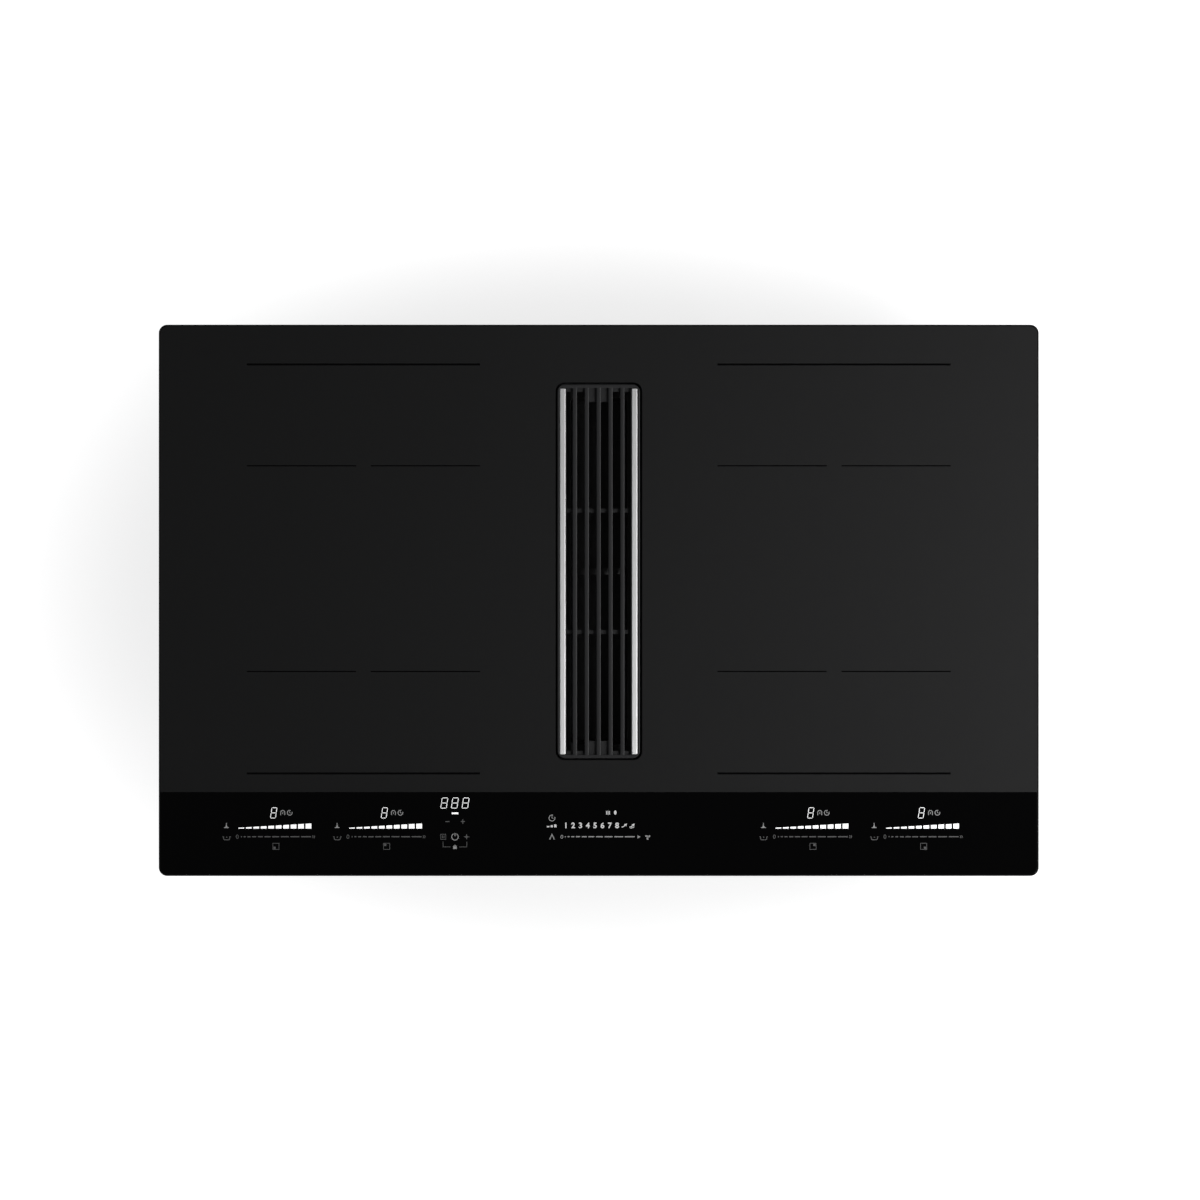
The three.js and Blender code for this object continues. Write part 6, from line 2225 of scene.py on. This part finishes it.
class COOKTOP_OT_boards(Operator):
    """Circuit boards whose coils, relays, cans and plugs have their own finishes"""

    bl_idname = "cooktop.boards"
    bl_label = "Circuit boards"

    def execute(self, context):
        paints = self.paints()
        tree = scatter_tree()
        # Each kind of part with its place outwards from the board's middle, and its width
        rows = (("wound", 20, 28), ("relay", 112, 28), ("plug", 70, 92), ("can", 70, 42),
                ("transformer", 66, 38))
        for side, sign in (("left", -1), ("right", 1)):
            node = f"power_board_{side}"
            left, right = box_mm(node)[:2]
            middle = (left + right) / 2
            parts = [(part, middle + sign * out, wide) for part, out, wide in rows]
            self.board(node, f"power_card_{side}", parts, paints)
            self.small_parts(tree, node, f"power_chips_{side}", middle - sign * 95)
        left, right = box_mm("mains_filter_board")[:2]
        self.board("mains_filter_board", "mains_card", [("wound", (left + right) / 2, 36)], paints)
        self.board("touch_board", "touch_card", [("display", 0.0, 700)], paints)
        return {"FINISHED"}

    def paints(self):
        return {
            "board": SLOT_FINISHES["board"](),
            "wound": drawn_metal("enamelled_copper", (0.36, 0.13, 0.05), 0.45, (60.0, 2600.0, 60.0), 0.5),
            "relay": plastic("relay_case", (0.015, 0.02, 0.03), 0.4),
            "plug": plastic("plug_case", (0.6, 0.58, 0.5), 0.5),
            "can": plastic("can_sleeve", (0.02, 0.022, 0.05), 0.35),
            "transformer": plastic("transformer_tape", (0.5, 0.38, 0.06), 0.5),
            "display": plastic("display_case", (0.03, 0.03, 0.032), 0.5),
        }

    def board(self, node, name, parts, paints):
        """Ease the board and paint what stands on it, by the kind, the middle and the width of each."""
        plug_row, transformer_row = 40 * MM, 45 * MM
        made = rounded(packed_mesh(node, name), 0.25 * MM)
        order = ["board", *dict.fromkeys(part for part, _, _ in parts)]
        low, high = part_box(node)
        deck = self.deck(made) + 0.05 * MM
        for face in made.polygons:
            if face.center.z <= deck:
                continue
            at = face.center.x / MM
            near = [part for part, x, wide in parts if abs(at - x) < wide / 2 + 1]
            if "can" in near and "plug" in near:
                near = ["plug" if face.center.y > high.y - plug_row else "can"]
            if "can" in near and face.center.y < low.y + transformer_row and "transformer" in order:
                near = ["transformer"]
            if near:
                face.material_index = order.index(near[0])
        keep_piece(name, made, "hob", [paints[part] for part in order], (node,))

    @staticmethod
    def deck(made):
        """The height of the board's own upper face: its widest level face that looks up."""
        level = [face for face in made.polygons if face.normal.z > 0.99]
        return max(level, key=lambda face: face.area).center.z

    def small_parts(self, tree, node, name, x):
        """Chips on the bare end of a power board. The board's leads reach below it."""
        low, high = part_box(node)
        leads, board, chip = 4.5 * MM, 1.6 * MM, 1.0 * MM
        made = grown(tree, {
            "Columns": 8, "Rows": 30, "Pitch": 9 * MM, "Share": 0.45, "Seed": 7,
            "Long": 3.2 * MM, "Wide": 1.6 * MM, "High": chip,
            "Material": soft("chip_case", (0.02, 0.02, 0.02), 0.5, 400.0, 0.1)}, name)
        level = low.z + leads + board + 0.4 * chip
        made.transform(Matrix.Translation((x * MM, (low.y + high.y) / 2, level)))
        keep_piece(name, made, "hob", ())


# ---- Wiring boxes ----

class COOKTOP_OT_wiring_details(Operator):
    """Ribs, knock-out rings and screws of the two boxes under the casing"""

    bl_idname = "cooktop.wiring_details"
    bl_label = "Wiring box details"

    def execute(self, context):
        black = SLOT_FINISHES["black_plastic"]()
        left, right, front, _, low, top = box_mm("terminal_box")
        middle = (low + top) / 2
        rib = quarter_turned(moulded_rib(top - low - 10, 1.8, 1.6), "Z")
        places = facing("front", [(left + 10 + 15 * i, front, middle) for i in range(7)])
        places += facing("left", [(left, front + 12 + 13 * i, middle) for i in range(4)])
        ring = lathe("ring", [
            (9.6, -0.4), (12.0, -0.4), (12.0, 1.0), (11.6, 1.4), (10.0, 1.4), (9.6, 1.0), (9.6, -0.4)], 32)
        disc = lathe("knock_out", [
            (0, -0.4), (8.4, -0.4), (8.4, 0.5), (7.9, 0.8), (7.2, 0.8), (6.9, 0.3), (0, 0.3)], 32)
        inlet = (right, 200.0, 124.0)
        discs = facing("down", [(left + x, front + 30, low) for x in (28, 82)])
        keep_joined("wiring_box_ribs", [
            copies(rib, places, black, "box_ribs"),
            copies(ring, facing("right", [inlet]), black, "inlet_ring"),
            copies(disc, discs, black, "knock_outs"),
        ], "hob")
        lid_face = box_mm("terminal_cover")[3] - 1.5
        places = facing("rear", [((left + right) / 2, lid_face, z) for z in (108.0, 118.0, 128.0)])
        lid = copies(moulded_rib(right - left - 20, 1.6, 1.2), places, black, "lid_ribs")
        keep_piece("lid_ribs", lid, "terminal_cover", ())
        self.clamp_screws()
        self.control_case()
        return {"FINISHED"}

    def clamp_screws(self):
        """Six brass screws along the terminal block."""
        left, right, _, rear, _, top = box_mm("terminal_block")
        middle, pitch, inset = (left + right) / 2, 13.5, 5.5
        places = facing("up", [(middle + (i - 2.5) * pitch, rear - inset, top) for i in range(6)])
        brass = drawn_metal("brass", (0.55, 0.38, 0.12), 0.35, (400.0, 400.0, 400.0), 0.3)
        keep_screws("clamp_screws", 3.2, 1.2, places, brass)

    def control_case(self):
        """Ribs along both long sides of the control box, and a screw in each corner of its cover."""
        left, right, front, rear, low, top = box_mm("blower_control_box")
        grey = SLOT_FINISHES["grey_plastic"]()
        rib = quarter_turned(moulded_rib(top - low - 8, 1.6, 1.4), "Z")
        margin, gaps = 15, 12
        pitch = (right - left - 2 * margin) / gaps
        places = []
        for way, y in (("rear", rear), ("front", front)):
            places += facing(way, [(left + margin + pitch * i, y, (low + top) / 2) for i in range(gaps + 1)])
        made = copies(rib, places, grey, "control_case_ribs")
        keep_piece("control_case_ribs", made, "hob", ())
        under, inset = box_mm("blower_control_cover")[4], 9
        corners = [(x, y, under) for x in (left + inset, right - inset)
                   for y in (front + inset, rear - inset)]
        keep_screws("control_screws", 2.8, 1.8, facing("down", corners))


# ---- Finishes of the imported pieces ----

class COOKTOP_OT_finishes(Operator):
    """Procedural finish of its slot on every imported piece"""

    bl_idname = "cooktop.finishes"
    bl_label = "Finishes of the packed pieces"

    def execute(self, context):
        for name, node in frame["nodes"].items():
            slot = SLOTS.get(name)
            if slot not in SLOT_FINISHES:
                raise RuntimeError(f"{name} has no finish for its slot {slot}")
            finish = SLOT_FINISHES[slot]()
            if not node.material_slots:
                node.data.materials.append(finish)
            for place in node.material_slots:
                place.material = finish
        return {"FINISHED"}


# ---- Stage ----

class COOKTOP_OT_stage(Operator):
    """Pale floor, soft studio lamps and a camera that looks straight down"""

    bl_idname = "cooktop.stage"
    bl_label = "Floor, lamps and camera"

    def execute(self, context):
        scene = context.scene
        sizes = settings().stage
        scene.view_settings.view_transform = "Standard"
        self.camera(scene, sizes)
        self.floor(sizes)
        self.world(scene)
        cool = (0.93, 0.96, 1.0)
        self.lamp("key_lamp", (0.93, -0.08, 1.36), (-0.17, 0.02, 0.56), (1.1, 0.9), sizes.key)
        self.lamp("fill_lamp", (-1.7, 0.3, 1.3), (0, 0, 0.2), (1.2, 1.6), sizes.fill, cool)
        self.lamp("front_lamp", (0.1, -1.45, 1.35), (0, 0, 0.2), (1.8, 0.7), sizes.front)
        return {"FINISHED"}

    def camera(self, scene, sizes):
        data = bpy.data.cameras.new("camera")
        data.type = "ORTHO"
        data.ortho_scale = sizes.width
        data.clip_end = 40.0
        camera = bpy.data.objects.new("camera", data)
        off_x, off_y, height = 1.2 * MM, 0.3 * MM, 6.0
        camera.location = (off_x, off_y, height)
        scene.collection.objects.link(camera)
        scene.camera = camera

    def floor(self, sizes):
        mesh = bmesh.new()
        mesh.faces.new(add_ring(mesh, oval(0, 0, sizes.floor, sizes.floor, 64), 0.0))
        made = bpy.data.meshes.new("floor")
        mesh.to_mesh(made)
        mesh.free()
        made.materials.append(self.floor_finish())
        floor = bpy.data.objects.new("floor", made)
        bpy.context.scene.collection.objects.link(floor)

    def floor_finish(self):
        """Matt paper that glows more the further out it lies, so that only a soft shadow is left on it. Its
        dimmer glow round the middle is a painted shadow pool under the object.
        """
        # Glow near the middle and far out: the low glow inside is a painted shadow round the object.
        near, far = (0.4, 0.76), (0.62, 1.0)
        material, tree, shader = start_material("floor_paper", Roughness=0.9)
        light = add_node(tree, "ShaderNodeLightPath").outputs
        seen = maths(tree, "MAXIMUM", light["Is Camera Ray"], light["Is Transmission Ray"])
        seen = maths(tree, "MAXIMUM", seen, light["Is Glossy Ray"])
        seen = maths(tree, "MAXIMUM", seen, 0.4)
        spread = add_node(tree, "ShaderNodeVectorMath", {
            0: object_place(tree), 1: (1.0, 1.45, 0.0)}, operation="MULTIPLY").outputs[0]
        away = add_node(tree, "ShaderNodeVectorMath", {0: spread}, operation="LENGTH").outputs["Value"]
        glow = add_node(tree, "ShaderNodeMapRange", {
            "Value": away, "From Min": near[0], "From Max": far[0], "To Min": near[1], "To Max": far[1]},
            interpolation_type="SMOOTHSTEP").outputs["Result"]
        feed(tree, shader, {
            "Base Color": (0.4, 0.4, 0.4, 1), "Emission Color": (1, 1, 1, 1),
            "Emission Strength": times(tree, seen, glow)})
        below = add_node(tree, "ShaderNodeNewGeometry").outputs["Backfacing"]
        clear = add_node(tree, "ShaderNodeBsdfTransparent").outputs["BSDF"]
        both = add_node(tree, "ShaderNodeMixShader", {0: below, 1: shader.outputs["BSDF"], 2: clear})
        feed(tree, tree.nodes["Material Output"], {"Surface": both.outputs[0]})
        return material

    def world(self, scene):
        """Dim sky, darkest overhead, that a camera sees as white."""
        world = bpy.data.worlds.new("studio")
        scene.world = world
        world.use_nodes = True
        tree = world.node_tree
        tree.nodes.clear()
        way = add_node(tree, "ShaderNodeTexCoord").outputs["Generated"]
        up = add_node(tree, "ShaderNodeSeparateXYZ", {"Vector": way}).outputs["Z"]
        level = add_node(tree, "ShaderNodeMapRange", {
            "Value": up, "From Min": 0.0, "From Max": 0.9, "To Min": 0.32, "To Max": 0.03}).outputs["Result"]
        skies = [add_node(tree, "ShaderNodeBackground", {
            "Color": (1, 1, 1, 1), "Strength": strength}).outputs[0] for strength in (level, 1.0)]
        seen = add_node(tree, "ShaderNodeLightPath").outputs["Is Camera Ray"]
        both = add_node(tree, "ShaderNodeMixShader", {0: seen, 1: skies[0], 2: skies[1]}).outputs[0]
        add_node(tree, "ShaderNodeOutputWorld", {"Surface": both})

    def lamp(self, name, place, target, size, power, tint=(1.0, 1.0, 1.0)):
        """A softbox at a place, turned to its target."""
        data = bpy.data.lights.new(name, "AREA")
        data.shape = "RECTANGLE"
        data.size, data.size_y = size
        data.energy = power
        data.color = tint
        lamp = bpy.data.objects.new(name, data)
        lamp.location = place
        lamp.rotation_euler = (Vector(target) - Vector(place)).to_track_quat("-Z", "Y").to_euler()
        bpy.context.scene.collection.objects.link(lamp)


# ---- Panel and registration ----

STEPS = (
    COOKTOP_OT_stage,
    COOKTOP_OT_finishes,
    COOKTOP_OT_glass,
    COOKTOP_OT_zone_lines,
    COOKTOP_OT_level_bars,
    COOKTOP_OT_slider_lines,
    COOKTOP_OT_display_digits,
    COOKTOP_OT_symbols,
    COOKTOP_OT_number_row,
    COOKTOP_OT_grille,
    COOKTOP_OT_trims,
    COOKTOP_OT_eased_pieces,
    COOKTOP_OT_seals,
    COOKTOP_OT_casing_details,
    COOKTOP_OT_housing_details,
    COOKTOP_OT_blower_wheel,
    COOKTOP_OT_filter_meshes,
    COOKTOP_OT_coils,
    COOKTOP_OT_boards,
    COOKTOP_OT_wiring_details,
)


class COOKTOP_PT_panel(Panel):
    bl_idname = "COOKTOP_PT_panel"
    bl_label = "Induction cooktop"
    bl_space_type = "VIEW_3D"
    bl_region_type = "UI"
    bl_category = "Cooktop"

    def draw(self, context):
        for step in STEPS:
            self.layout.operator(step.bl_idname)


GROUPS = (
    GlassSizes, ZoneSizes, ControlSizes, GrilleSizes, CasingSizes, BlowerSizes, FilterSizes, CoilSizes,
    Finishes, StageSizes, CooktopSettings,
)
CLASSES = (*GROUPS, *STEPS, COOKTOP_PT_panel)


def register():
    for item in CLASSES:
        bpy.utils.register_class(item)
    bpy.types.Scene.cooktop = PointerProperty(type=CooktopSettings)


def unregister():
    del bpy.types.Scene.cooktop
    for item in reversed(CLASSES):
        bpy.utils.unregister_class(item)


def main():
    """Build everything in order."""
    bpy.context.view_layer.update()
    register()
    for step in STEPS:
        group, name = step.bl_idname.split(".")
        getattr(getattr(bpy.ops, group), name)()


if __name__ == "__main__":
    main()
